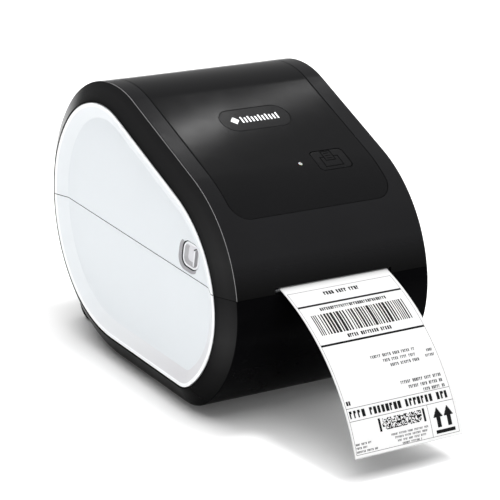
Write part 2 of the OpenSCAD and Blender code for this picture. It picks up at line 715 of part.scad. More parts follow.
// ---- Print head in the lid
module print_head() color([0.75, 0.6, 0.45]) on_path()
    translate([-head_w, -6, label_t / 2 + 0.2]) cube([2 * head_w, 14, 1.2]);
head_screw_x = 40;
module heat_sink() color([0.75, 0.76, 0.78]) on_path() difference() {
    translate([-head_w, -9, label_t / 2 + 1.4]) cube([2 * head_w, 25, 7]);
    for (y = [-5.5, 8.5]) translate([-head_w - 1, y, 5]) cube([2 * head_w + 2, 3.5, 6]);
    for (s = [-1, 1]) translate([s * head_screw_x, 3.5, 3]) cylinder(r = 1.52, h = 10);
}
carrier_z = label_t / 2 + 8.4;
module head_carrier() color([0.5, 0.51, 0.53]) on_path() difference() {
    union() {
        translate([-50, -3, carrier_z]) cube([100, 34, 2]);
        for (s = [-1, 1]) translate([s * 48 - 2, head_pin[0] - 4, 4]) cube([4, 8, carrier_z - 3]);
    }
    for (s = [-1, 1]) translate([s * head_screw_x, 3.5, 3]) cylinder(r = 1.6, h = 10);
    translate([-60, head_pin[0], head_pin[1]]) rotate([0, 90, 0]) cylinder(r = head_pin_r + fit, h = 120);
}
module head_screws() color([0.6, 0.6, 0.62]) on_path() for (s = [-1, 1]) {
    translate([s * head_screw_x, 3.5, 4]) cylinder(r = 1.5, h = carrier_z - 2 + eps);
    translate([s * head_screw_x, 3.5, carrier_z + 2]) cylinder(r = 2.8, h = 1.6);
}
module head_rod() color([0.75, 0.75, 0.78]) on_path()
    translate([-58, head_pin[0], head_pin[1]]) rotate([0, 90, 0]) cylinder(r = head_pin_r, h = 116);
module head_springs() color([0.75, 0.75, 0.78]) on_path() for (x = [-24, 24]) difference() {
    translate([x, 4, carrier_z + 2.2]) cylinder(r = 4, h = beam_z - carrier_z - 2.2);
    translate([x, 4, carrier_z]) cylinder(r = 3, h = 20);
}
module lid_frame() color([0.2, 0.2, 0.21]) {
    web_x = [76, 78.5];
    difference() {
        union() {
            for (s = [-1, 1]) {
                difference() {
                    intersection() {
                        slab(s * web_x[0], s * web_x[1], wall + 0.3);
                        above(108);
                    }
                    difference() {
                        slab(-90, 90, 16);
                        block([-90, 90], [-70, 24], [100, 146]);
                    }
                }
                on_path() side_block(s, [52.5, 55.5], [head_pin[0] - 5, head_pin[0] + 5], [4, beam_z + 1]);
                side_rod(s, 67.3, 78.5, hinge_at, knuckle_r);
                side_block(s, [67.3, 78.5], [158, hinge_at[0]], [seam_z + 0.5, 112]);
            }
            on_path() block([-76.5, 76.5], [0, 36], [beam_z, beam_z + 2.5]);
        }
        rod_x(-90, 90, hinge_at, hinge_r + fit);
        on_path() translate([-60, head_pin[0], head_pin[1]]) rotate([0, 90, 0])
            cylinder(r = head_pin_r + 0.01, h = 120);
        rod_x(-90, 90, latch_at, stem_r + fit);
    }
}

base_shell();
rear_legs();
lid_shell();
bottom_plate();
rubber_feet();
case_screws();
lower_cover_left();
lower_cover_right();
upper_cover_left();
upper_cover_right();
port_surround();
rear_panel();
dc_jack();
usb_port();
switch_housing();
power_rocker();
main_board();
board_screws();
media_tray();
holder_track();
holder_pinion();
roll_holder_left();
roll_holder_right();
roll_core();
label_roll();
label_strip();
feed_frame();
platen_bushes();
platen_shaft();
platen_rubber();
platen_gear();
idler_gear();
idler_pin();
motor_pinion();
drive_motor();
motor_screws();
tear_bar();
label_sensor();
hinge_brackets();
hinge_pins();
lid_frame();
top_panel();
badge_plate();
feed_button();
button_board();
led_lens();
print_head();
heat_sink();
head_carrier();
head_screws();
head_rod();
head_springs();
latch_button_left();
latch_button_right();
latch_springs();
latch_strikers();
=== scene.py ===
import bpy
import bmesh
import math
import random
from mathutils import Matrix, Vector


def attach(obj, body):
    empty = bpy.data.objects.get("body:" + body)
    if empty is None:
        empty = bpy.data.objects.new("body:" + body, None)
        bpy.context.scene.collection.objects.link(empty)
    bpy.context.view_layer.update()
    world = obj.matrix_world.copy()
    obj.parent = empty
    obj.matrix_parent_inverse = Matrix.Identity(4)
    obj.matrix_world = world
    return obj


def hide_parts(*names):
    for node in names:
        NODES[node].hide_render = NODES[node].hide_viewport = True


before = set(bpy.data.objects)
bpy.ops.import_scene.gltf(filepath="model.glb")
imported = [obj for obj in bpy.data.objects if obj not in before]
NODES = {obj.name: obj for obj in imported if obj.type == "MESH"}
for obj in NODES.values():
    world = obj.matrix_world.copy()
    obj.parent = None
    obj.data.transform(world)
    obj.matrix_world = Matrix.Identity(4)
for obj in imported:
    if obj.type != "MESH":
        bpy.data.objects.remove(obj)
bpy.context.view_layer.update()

# ---------------------------------------------------------------- main sizes, in millimetres
MM = 0.001  # metres
SEAM, GAP = 106.0, 0.3  # height and width of the seam between the case's halves
# the barrel's creases, where its slanted rings start, the covers' outside
CREASE_X, RING_X, SIDE_X = 91, 91.3, 101
LID_SHADE_TOP = 131  # the lid's front carries painted shade from here down to the seam
ROLL_Y, ROLL_Z = 62, 92  # the label roll's axis

# ---------------------------------------------------------------- camera, at the photograph's angle
AZ, EL, ROLL = math.radians(-39.136), math.radians(21.943), math.radians(7.0)
CAMERA_AT = (-1.18303, -1.42060, 0.84716)
SENSOR, FOCAL_LENGTH, PICTURE_SIDE = 36, 2600, 500  # the last two in pixels
back = Vector((math.sin(AZ) * math.cos(EL), -math.cos(AZ) * math.cos(EL), math.sin(EL)))
right = (-back).cross(Vector((0, 0, 1))).normalized()
up = right.cross(-back)
cam_x = math.cos(ROLL) * right + math.sin(ROLL) * up
cam_y = -math.sin(ROLL) * right + math.cos(ROLL) * up
cam_data = bpy.data.cameras.new("camera")
cam_data.sensor_width = SENSOR
cam_data.lens = SENSOR * FOCAL_LENGTH / PICTURE_SIDE
cam_data.clip_end = 100
camera = bpy.data.objects.new("camera", cam_data)
bpy.context.scene.collection.objects.link(camera)
turn = Matrix((cam_x, cam_y, back)).transposed().to_4x4()
camera.matrix_world = Matrix.Translation(CAMERA_AT) @ turn
bpy.context.scene.camera = camera

# ---------------------------------------------------------------- materials
NOISE_LOW, NOISE_HIGH = 0.3, 0.7  # most of a noise's values lie between these
PLASTIC_IOR = 1.46


class Nodes:
    """A material's node tree with short calls for its usual nodes."""

    def __init__(self, name):
        self.mat = bpy.data.materials.new(name)
        self.mat.use_nodes = True
        self.tree = self.mat.node_tree
        self.bsdf = self.tree.nodes["Principled BSDF"]
        self.coord = self.tree.nodes.new("ShaderNodeTexCoord").outputs["Object"]

    def add(self, kind, **values):
        """A new node, with its properties and its inputs set by name."""
        node = self.tree.nodes.new(kind)
        for key, value in values.items():
            if hasattr(node, key):
                setattr(node, key, value)
            else:
                node.inputs[key.replace("_", " ")].default_value = value
        return node

    def link(self, a, b):
        self.tree.links.new(a, b)

    def set(self, **values):
        """Sets the shader's own sockets."""
        for key, value in values.items():
            self.bsdf.inputs[key.replace("_", " ")].default_value = value

    def noise(self, scale, detail=3.0, rough=0.5, vector=None):
        node = self.add("ShaderNodeTexNoise", Scale=scale, Detail=detail, Roughness=rough)
        self.link(vector or self.coord, node.inputs["Vector"])
        return node.outputs["Fac"]

    def ramp(self, fac, stops):
        node = self.tree.nodes.new("ShaderNodeValToRGB")
        while len(node.color_ramp.elements) < len(stops):
            node.color_ramp.elements.new(0.5)
        for element, (at, color) in zip(node.color_ramp.elements, stops):
            element.position = at
            element.color = (*color, 1)
        self.link(fac, node.inputs["Fac"])
        return node.outputs["Color"]

    def two_tone(self, noise, low, high):
        """Runs from one colour to the other over a noise."""
        return self.ramp(noise, [(NOISE_LOW, low), (NOISE_HIGH, high)])

    def drifting(self, noise, low, high):
        """A number that follows a noise from low to high."""
        return self.spread(noise, NOISE_LOW, NOISE_HIGH, low, high)

    def spread(self, value, start, end, low=0.0, high=1.0):
        """Maps start..end to low..high."""
        node = self.add("ShaderNodeMapRange", From_Min=start, From_Max=end, To_Min=low, To_Max=high)
        self.link(value, node.inputs["Value"])
        return node.outputs["Result"]

    def multiply(self, a, b):
        node = self.add("ShaderNodeMix", data_type="RGBA", blend_type="MULTIPLY")
        factor, first, second = (node.inputs[k] for k in (0, 6, 7))
        factor.default_value = 1.0
        self.link(a, first)
        self.link(b, second)
        return node.outputs[2]

    def axis(self, letter):
        node = self.add("ShaderNodeSeparateXYZ")
        self.link(self.coord, node.inputs["Vector"])
        return node.outputs[letter]

    def calculate(self, operation, value, other=0.0):
        node = self.add("ShaderNodeMath", operation=operation)
        self.link(value, node.inputs[0])
        node.inputs[1].default_value = other
        return node.outputs[0]

    def bump(self, height, strength, distance):
        node = self.add("ShaderNodeBump", Strength=strength, Distance=distance)
        self.link(height, node.inputs["Height"])
        self.link(node.outputs["Normal"], self.bsdf.inputs["Normal"])

    def surface(self, color, roughness):
        self.link(color, self.bsdf.inputs["Base Color"])
        self.link(roughness, self.bsdf.inputs["Roughness"])


def scaled(color, k):
    return tuple(max(0.0, min(1.0, v * k)) for v in color)


def grey_stops(*stops):
    """Ramp stops of plain grey from (position, value) pairs."""
    return [(at, (v, v, v)) for at, v in stops]


def patchy_gloss(n, rough, spread):
    """A moulding's roughness, which drifts from patch to patch."""
    return n.drifting(n.noise(60.0, 4.0, 0.65), rough - spread, rough + spread)


def plastic(name, color, rough, spread=0.06, grain=900, depth=0.00001, bump=0.25, spec=0.5, tint=0.12):
    """Moulded plastic with a fine grain, and a colour that drifts by tint over some centimetres."""
    n = Nodes(name)
    n.set(IOR=PLASTIC_IOR, Specular_IOR_Level=spec)
    n.surface(n.two_tone(n.noise(14.0), scaled(color, 1 - tint), scaled(color, 1 + tint)),
              patchy_gloss(n, rough, spread))
    n.bump(n.noise(grain, 4.0, 0.6), bump, depth)
    return n.mat


def painted_light_plastic(name, along, start, end, stops, rough, spec, across=None):
    """Plastic with painted light and shade: its colour grades along a direction, from start to end
    millimetres, and over the rings.
    """
    n = Nodes(name)
    n.set(IOR=PLASTIC_IOR, Specular_IOR_Level=spec)
    reach = n.add("ShaderNodeVectorMath", operation="DOT_PRODUCT")
    n.link(n.coord, reach.inputs[0])
    reach.inputs[1].default_value = along
    tone = n.ramp(n.spread(reach.outputs["Value"], start * MM, end * MM), stops)
    if across:
        width = n.spread(n.calculate("ABSOLUTE", n.axis("X")), CREASE_X * MM, SIDE_X * MM)
        tone = n.multiply(tone, n.ramp(width, across))
    n.surface(tone, patchy_gloss(n, rough, 0.03))
    n.bump(n.noise(500.0, 4.0, 0.6), 0.05, 0.000001)
    return n.mat


def metal(name, color, rough, stretch=(1, 1, 1), grain=700, tint=0.1):
    """Metal with a noise drawn out by stretch into brush marks."""
    n = Nodes(name)
    n.set(Metallic=1.0)
    place = n.add("ShaderNodeMapping", Scale=stretch)
    n.link(n.coord, place.inputs["Vector"])
    brushed = n.noise(grain, 5.0, 0.7, place.outputs["Vector"])
    n.surface(n.two_tone(brushed, scaled(color, 1 - tint), scaled(color, 1 + tint)),
              n.drifting(brushed, rough - 0.07, rough + 0.1))
    n.bump(brushed, 0.2, 0.00002)
    return n.mat


def lens_material():
    n = Nodes("led_lens")
    n.set(IOR=1.5, Transmission_Weight=0.35, Subsurface_Weight=0.3, Subsurface_Scale=0.001)
    n.surface(n.two_tone(n.noise(900.0), (0.36, 0.365, 0.37), (0.45, 0.455, 0.46)),
              n.drifting(n.noise(400.0), 0.25, 0.4))
    n.bump(n.noise(1500.0), 0.2, 0.00002)
    return n.mat


def paper_material(name, color):
    """Fibrous paper, which darkens at the slot, where the lip shades it."""
    slot_in, slot_out = -0.0645, -0.0745
    n = Nodes(name)
    n.set(IOR=1.45, Specular_IOR_Level=0.35)
    fibers = n.noise(420.0, 6.0, 0.7)
    shade_stops = grey_stops((0.0, 1), (0.3, 0.85), (0.58, 0.4), (1.0, 1))
    n.surface(n.multiply(n.two_tone(fibers, scaled(color, 0.98), color),
                         n.ramp(n.spread(n.axis("Y"), slot_out, slot_in), shade_stops)),
              n.drifting(n.noise(120.0, 4.0), 0.42, 0.56))
    n.bump(fibers, 0.15, 0.00002)
    return n.mat


def roll_material():
    """Wound paper: fine rings round the roll's axis."""
    n = Nodes("wound_paper")
    flat = n.add("ShaderNodeCombineXYZ")
    n.link(n.calculate("SUBTRACT", n.axis("Y"), ROLL_Y * MM), flat.inputs["X"])
    n.link(n.calculate("SUBTRACT", n.axis("Z"), ROLL_Z * MM), flat.inputs["Y"])
    length = n.add("ShaderNodeVectorMath", operation="LENGTH")
    n.link(flat.outputs["Vector"], length.inputs[0])
    radius = n.add("ShaderNodeCombineXYZ")
    n.link(length.outputs["Value"], radius.inputs["X"])
    rings = n.noise(2600.0, 4.0, 0.7, radius.outputs["Vector"])
    tones = [(0.3, (0.62, 0.61, 0.58)), (0.55, (0.86, 0.86, 0.85)), (0.8, (0.93, 0.93, 0.93))]
    n.surface(n.ramp(rings, tones), n.drifting(rings, 0.55, 0.75))
    n.bump(rings, 0.5, 0.0001)
    return n.mat


def card_material():
    n = Nodes("core_card")
    fibers = n.noise(350.0, 6.0, 0.7)
    n.surface(n.two_tone(fibers, (0.30, 0.2, 0.12), (0.46, 0.33, 0.21)), n.drifting(fibers, 0.7, 0.9))
    n.bump(fibers, 0.5, 0.00008)
    return n.mat


def board_material():
    """Green solder mask with copper tracks that show faintly through it."""
    n = Nodes("board_green")
    n.set(Specular_IOR_Level=0.6)
    cells = n.add("ShaderNodeTexVoronoi", feature="DISTANCE_TO_EDGE", distance="MANHATTAN", Scale=170.0)
    n.link(n.coord, cells.inputs["Vector"])
    tracks = cells.outputs["Distance"]
    greens = [(0.0, (0.035, 0.2, 0.09)), (0.06, (0.03, 0.17, 0.075)), (0.1, (0.012, 0.085, 0.035))]
    n.surface(n.ramp(tracks, greens), n.drifting(n.noise(80.0), 0.25, 0.4))
    n.bump(tracks, 0.2, 0.00003)
    return n.mat


def ceramic_material():
    n = Nodes("head_ceramic")
    n.surface(n.two_tone(n.noise(260.0, 4.0), (0.5, 0.37, 0.24), (0.62, 0.49, 0.34)),
              n.drifting(n.noise(90.0), 0.12, 0.25))
    n.bump(n.noise(900.0), 0.1, 0.00001)
    return n.mat


# textures that several plastics share
TEXTURED = dict(grain=1600, depth=0.000003, bump=0.15, tint=0.08)
SATIN = dict(grain=900, depth=0.000002, bump=0.1)
SMOOTH = dict(grain=500, depth=0.000001, bump=0.05, tint=0.006)
PRINTED = dict(grain=2500, depth=0.000004, spec=0.1, tint=0.3)

shell_black = plastic("shell_black", (0.0062, 0.0062, 0.0067), 0.16, 0.03, spec=0.16, **TEXTURED)
# a darker copy of the shell's black, with less gloss: painted shade on the case's lower half, its stands and
# its bottom plate
base_painted_shade_black = plastic("base_painted_shade_black", (0.0012, 0.0012, 0.0014), 0.25, 0.04, spec=0.008, **TEXTURED)
# a lighter black: a painted highlight along the lid's creases
crease_painted_highlight = plastic("crease_painted_highlight", (0.13, 0.13, 0.132), 0.2, 0.03, grain=1600, depth=0.000002, bump=0.1,
                       tint=0.2)
panel_black = plastic("panel_black", (0.0034, 0.0034, 0.0037), 0.1, 0.012,
                      grain=300, depth=0.0000005, bump=0.03, spec=0.17, tint=0.04)
badge_black = plastic("badge_black", (0.0068, 0.0068, 0.0072), 0.14, 0.02,
                      grain=900, depth=0.000001, bump=0.05, spec=0.12, tint=0.05)
button_black = plastic("button_black", (0.0044, 0.0044, 0.0047), 0.2, 0.03,
                       grain=1500, depth=0.000002, bump=0.1, spec=0.16, tint=0.05)
cover_white = plastic("cover_white", (0.632, 0.661, 0.684), 0.4, 0.03, spec=0.3, **SMOOTH)
# a lighter white: a painted highlight along the covers' outer edge
edge_painted_highlight = plastic("edge_painted_highlight", (0.80, 0.81, 0.82), 0.35, 0.03, spec=0.35, **SMOOTH)
# a darker copy of the covers' white: painted shade on the rear and lower slants of the latch's well
well_painted_shade = plastic("well_painted_shade", (0.33, 0.325, 0.34), 0.45, 0.04, spec=0.3, tint=0.03, **SATIN)
# a darker copy of the latch's grey: painted shade on the dish's slants and in front of the grip
dish_painted_shade = plastic("dish_painted_shade", (0.42, 0.415, 0.43), 0.45, 0.04, spec=0.3, tint=0.03, **SATIN)
# near black: painted shadow on the walls of the latch's gap and the covers' seam; also the latch's dark dot
gap_painted_shadow_and_dot_dark = plastic("gap_painted_shadow_and_dot_dark", (0.03, 0.03, 0.032), 0.6, 0.05, spec=0.1, tint=0.05, **SATIN)
# a lighter copy of the latch's grey: a painted highlight on the latch's rim and grip, and on the pad's hidden
# end
rim_painted_highlight = plastic("rim_painted_highlight", (0.76, 0.77, 0.79), 0.35, 0.03, spec=0.35, tint=0.01, **SATIN)
latch_grey = plastic("latch_grey", (0.64, 0.64, 0.665), 0.4, 0.04, grain=1200, depth=0.000003, bump=0.15,
                     spec=0.35, tint=0.02)
frame_grey = plastic("frame_grey", (0.075, 0.076, 0.08), 0.48, 0.07, grain=700, depth=0.00003, bump=0.35)
dark_trim = plastic("dark_trim", (0.012, 0.012, 0.013), 0.45, 0.07, depth=0.00002)
green_plastic = plastic("green_plastic", (0.05, 0.17, 0.13), 0.4, grain=800, depth=0.00002)
ivory_plastic = plastic("ivory_plastic", (0.72, 0.69, 0.58), 0.42, grain=600, depth=0.00002)
rubber_black = plastic("rubber_black", (0.012, 0.012, 0.012), 0.72, 0.08, grain=1400, depth=0.00004, bump=0.5)
platen_black = plastic("platen_black", (0.022, 0.022, 0.023), 0.62, grain=2200, depth=0.00003, bump=0.4)
ink_black = plastic("ink_black", (0.004, 0.004, 0.0042), 0.6, 0.08, **PRINTED)
ink_grey = plastic("ink_grey", (0.055, 0.055, 0.057), 0.65, 0.08, **PRINTED)
icon_black = plastic("icon_black", (0.0015, 0.0015, 0.0016), 0.7, 0.05, grain=1500, spec=0.1)
mark_white = plastic("mark_white", (0.75, 0.76, 0.77), 0.5, grain=1500, tint=0.05)

# plastics with painted light and shade: their colour grades with height as the light on them would, and the
# rings carry a painted highlight across their middle and painted shade at their outer edge
RING_PAINTED_LIGHT = grey_stops((0.0, 0.8), (0.4, 1), (0.75, 0.92), (0.93, 0.6), (1.0, 0.12))
ring_painted_light_black = painted_light_plastic("ring_painted_light_black", (0, 0, 1), 0, 120, [
    (0.1, (0.001, 0.001, 0.0011)), (0.38, (0.0065, 0.0065, 0.0067)), (0.62, (0.019, 0.019, 0.0193)),
    (0.87, (0.0115, 0.0115, 0.0118))], 0.25, 0.02, RING_PAINTED_LIGHT)
# painted light and shade on the lid's slanted rings
lid_ring_painted_light_black = painted_light_plastic("lid_ring_painted_light_black", (0, 0, 1), 100, 220, [
    (0.05, (0.0115, 0.0115, 0.0118)), (0.25, (0.018, 0.018, 0.0183)), (0.6, (0.011, 0.011, 0.0113)),
    (1.0, (0.0105, 0.0105, 0.0108))], 0.2, 0.04, RING_PAINTED_LIGHT)
# painted shade on the lid's front, darkest at the seam
lid_front_painted_shade = painted_light_plastic("lid_front_painted_shade", (0, 0, 1), SEAM, LID_SHADE_TOP, [
    (0.0, (0.0002, 0.0002, 0.0002)), (0.3, (0.0018, 0.0018, 0.0019)),
    (1.0, (0.0062, 0.0062, 0.0067))], 0.16, 0.16)
# painted light and shade on the covers' slanting band: darker low down, lighter higher up
band_painted_light = painted_light_plastic("band_painted_light", (0, 0.5, 1), 0, 120, [
    (0.0, (0.61, 0.605, 0.62)), (0.12, (0.578, 0.573, 0.59)), (0.42, (0.645, 0.655, 0.67)),
    (0.8, (0.685, 0.71, 0.73))], 0.4, 0.3)

steel = metal("steel", (0.5, 0.5, 0.52), 0.3, (0.15, 1, 1))
screw_steel = metal("screw_steel", (0.62, 0.62, 0.64), 0.25, grain=1200)
aluminium = metal("aluminium", (0.66, 0.67, 0.69), 0.36, (0.08, 1, 1))
motor_metal = metal("motor_metal", (0.12, 0.12, 0.13), 0.4)
brass = metal("brass", (0.66, 0.47, 0.2), 0.28, grain=900)
lens = lens_material()
paper = paper_material("label_paper", (0.47, 0.47, 0.47))
liner = paper_material("label_liner", (0.37, 0.373, 0.373))
wound = roll_material()
card = card_material()
board_green = board_material()
ceramic = ceramic_material()

# ---------------------------------------------------------------- the case's side outline, in millimetres
# radius and turn in degrees of each arc, from the rear of the flat underside, up the back and down the front
ARCS = [(106, 42.5), (132, 45), (98, 35), (68, 78), (116, 53.5), (86, 62.5), (34, 43.5)]
SLOPE_ARC = 4  # the straight slope comes before this arc
CREST_R, FRONT_R = ARCS[SLOPE_ARC - 1][0], ARCS[SLOPE_ARC][0]
FLAT_Y, FOOT = -26.0, 5.0  # front end and height of the flat underside


def sind(a):
    return math.sin(math.radians(a))


def cosd(a):
    return math.cos(math.radians(a))


heads = [0.0]  # the outline's heading, in degrees, at the start of each arc
for _, turned in ARCS:
    heads.append(heads[-1] + turned)
moves = [(r * (sind(heads[i + 1]) - sind(heads[i])), r * (cosd(heads[i]) - cosd(heads[i + 1])))
         for i, (r, _) in enumerate(ARCS)]
sum_y, sum_z = sum(m[0] for m in moves), sum(m[1] for m in moves)
# the slope and the flat underside take the lengths that close the outline
SLOPE_HEAD = heads[SLOPE_ARC]
SLOPE = SLOPE_HEAD - 180
SLOPE_LEN = -sum_z / sind(SLOPE_HEAD)
FLAT_LEN = -sum_y - SLOPE_LEN * cosd(SLOPE_HEAD)
centres = []
at = [FLAT_Y + FLAT_LEN, FOOT]
for i, (r, _) in enumerate(ARCS):
    if i == SLOPE_ARC:
        at = [at[0] + SLOPE_LEN * cosd(SLOPE_HEAD), at[1] + SLOPE_LEN * sind(SLOPE_HEAD)]
        slope_low = tuple(at)
    centres.append((at[0] - r * sind(heads[i]), at[1] + r * cosd(heads[i])))
    at = [at[0] + moves[i][0], at[1] + moves[i][1]]


def rail(step):
    """(arc, heading) pairs round the outline, at most step degrees apart."""
    out = []
    for i, (_, turned) in enumerate(ARCS):
        count = math.ceil(turned / step)
        after_straight = i in (0, SLOPE_ARC)
        for k in range(0 if after_straight else 1, count + 1):
            out.append((i, heads[i] + turned * k / count))
    return out


def on_rail(item, depth):
    """(y, z) of a point of the outline, drawn in by depth."""
    i, a = item
    r = ARCS[i][0] - depth
    return centres[i][0] + r * sind(a), centres[i][1] - r * cosd(a)


def from_slope(c, u, w):
    """A point in metres from slope coordinates: across, up the slope, out of it."""
    return Vector((c, slope_low[0] + u * cosd(SLOPE) - w * sind(SLOPE),
                   slope_low[1] + u * sind(SLOPE) + w * cosd(SLOPE))) * MM


def surf(u, depth):
    """Height, in slope coordinates, of the case's surface drawn in by depth."""
    if u < 0:
        r = FRONT_R - depth
        return -FRONT_R + math.sqrt(max(0, r * r - u * u))
    if u > SLOPE_LEN:
        r, d = CREST_R - depth, u - SLOPE_LEN
        return -CREST_R + math.sqrt(max(0, r * r - d * d))
    return -depth


# ---------------------------------------------------------------- mesh helpers, with sizes in millimetres
def shade(obj, angle):
    """Smooth shading, with edges sharper than angle degrees left sharp."""
    obj.data.shade_smooth()
    obj.data.set_sharp_from_angle(angle=math.radians(angle))


def from_bmesh(name, bm, material=None, smooth=30):
    bmesh.ops.remove_doubles(bm, verts=bm.verts[:], dist=1e-7)
    bmesh.ops.recalc_face_normals(bm, faces=bm.faces[:])
    mesh = bpy.data.meshes.new(name)
    bm.to_mesh(mesh)
    bm.free()
    obj = bpy.data.objects.new(name, mesh)
    bpy.context.scene.collection.objects.link(obj)
    if material is not None:
        mesh.materials.append(material)
    shade(obj, smooth)
    return obj


def settle(obj, angle=30):
    """Applies the modifiers."""
    graph = bpy.context.evaluated_depsgraph_get()
    mesh = bpy.data.meshes.new_from_object(obj.evaluated_get(graph))
    old = obj.data
    obj.modifiers.clear()
    obj.data = mesh
    bpy.data.meshes.remove(old)
    shade(obj, angle)


def boolean(obj, cutters, operation="DIFFERENCE", angle=30):
    """Cuts the cutters out of the object, or joins them to it, and removes them."""
    for cutter in cutters:
        mod = obj.modifiers.new("cut", "BOOLEAN")
        mod.operation = operation
        mod.solver = "EXACT"
        mod.object = cutter
    settle(obj, angle)
    for cutter in cutters:
        bpy.data.objects.remove(cutter)


def bevel(obj, width, segments, angle=40):
    """Rounds the edges that are sharper than angle degrees."""
    mod = obj.modifiers.new("edge", "BEVEL")
    mod.width = width * MM
    mod.segments = segments
    mod.limit_method = "ANGLE"
    mod.angle_limit = math.radians(angle)
    mod.use_clamp_overlap = True
    settle(obj)


def filleted(points, radii, seg, closed=True):
    """A polyline with rounded corners, one radius for each point."""
    out, n = [], len(points)
    for i, (p, r) in enumerate(zip(points, radii)):
        if r <= 0 or (not closed and i in (0, n - 1)):
            out.append(p)
            continue
        a, b = Vector(points[i - 1]) - Vector(p), Vector(points[(i + 1) % n]) - Vector(p)
        half = a.angle(b) / 2
        cut = min(r / math.tan(half), a.length * 0.49, b.length * 0.49)
        r = cut * math.tan(half)
        middle = Vector(p) + (a.normalized() + b.normalized()).normalized() * (r / math.sin(half))
        start = Vector(p) + a.normalized() * cut - middle
        end = Vector(p) + b.normalized() * cut - middle
        for k in range(seg + 1):
            out.append(tuple(middle + start.lerp(end, k / seg).normalized() * r))
    return out


def supported(points, closed=True, margin=0.7):
    """Adds points near the ends of long runs, which keep the shading of flat faces flat."""
    out = []
    for i, p in enumerate(points):
        out.append(tuple(p))
        if not closed and i == len(points) - 1:
            break
        a, b = Vector(p), Vector(points[(i + 1) % len(points)])
        run = (b - a).length
        if run > 3.5 * margin:
            out += [tuple(a.lerp(b, margin / run)), tuple(a.lerp(b, 1 - margin / run))]
    return out


def loft(profile, items, closed):
    """Sweeps (x, depth) points round the outline."""
    bm = bmesh.new()
    rows = []
    for item in items:
        row = []
        for x, depth in profile:
            y, z = on_rail(item, depth)
            row.append(bm.verts.new((x * MM, y * MM, z * MM)))
        rows.append(row)
    n, m = len(rows), len(profile)
    for i in range(n):
        a, b = rows[i], rows[(i + 1) % n]
        for j in range(m if closed else m - 1):
            k = (j + 1) % m
            bm.faces.new((a[j], a[k], b[k], b[j]))
    if not closed:
        bm.faces.new([r[0] for r in rows])
        bm.faces.new([r[-1] for r in rows][::-1])
    return bm


def core_solid(name, half_width, depth):
    """A solid of the case's outline, drawn in by depth."""
    return from_bmesh(name, loft([(-half_width, depth), (half_width, depth)], rail_fine, False))


def slice_z(bm, z, keep_above):
    cut = bmesh.ops.bisect_plane(bm, geom=bm.verts[:] + bm.edges[:] + bm.faces[:], dist=1e-8,
                                 plane_co=(0, 0, z * MM), plane_no=(0, 0, 1),
                                 clear_inner=keep_above, clear_outer=not keep_above)
    edges = [e for e in cut["geom_cut"] if isinstance(e, bmesh.types.BMEdge)]
    bmesh.ops.holes_fill(bm, edges=edges, sides=0)


def box_mesh(name, x, y, z):
    """A block between (low, high) pairs."""
    bm = bmesh.new()
    bmesh.ops.create_cube(bm, size=1)
    for v in bm.verts:
        for k, (low, high) in enumerate((x, y, z)):
            v.co[k] = (low + (v.co[k] + 0.5) * (high - low)) * MM
    return from_bmesh(name, bm)


def add_tube(bm, rings):
    """Joins rings of points, in metres, and closes both ends."""
    rows = [[bm.verts.new(p) for p in ring] for ring in rings]
    n = len(rows[0])
    for a, b in zip(rows, rows[1:]):
        for i in range(n):
            bm.faces.new((a[i], a[(i + 1) % n], b[(i + 1) % n], b[i]))
    bm.faces.new(rows[0][::-1])
    bm.faces.new(rows[-1])


def solid(name, rings, material=None, smooth=30):
    bm = bmesh.new()
    add_tube(bm, rings)
    return from_bmesh(name, bm, material, smooth)


def plate_x(name, outline, x0, x1, material):
    """A flat piece of a (y, z) outline, from x0 to x1."""
    return solid(name, [[Vector((x, y, z)) * MM for y, z in outline] for x in (x0, x1)], material)


def lathe_x(name, profile, s, at, material, seg=48):
    """A turned piece along X, on side s, from (x, radius) pairs."""
    turns = [360 * k / seg for k in range(seg)]
    return solid(name, [[Vector((s * x, at[0] + r * cosd(a), at[1] + r * sind(a))) * MM for a in turns]
                        for x, r in profile], material)


def round_rect(hw, hl, r, seg=10):
    """Points round a rectangle of half width hw and half length hl, with corners of radius r."""
    out = []
    for cx, cy, start in ((1, -1, -90), (1, 1, 0), (-1, 1, 90), (-1, -1, 180)):
        for k in range(seg + 1):
            a = start + 90 * k / seg
            out.append((cx * (hw - r) + r * cosd(a), cy * (hl - r) + r * sind(a)))
    return out


def slope_prism(name, at, size, w0, w1):
    """A rounded block square to the slope, from w0 to w1 out of it; size is as round_rect takes it."""
    ring = round_rect(*size)
    return solid(name, [[from_slope(at[0] + x, at[1] + y, w) for x, y in ring] for w in (w0, w1)])


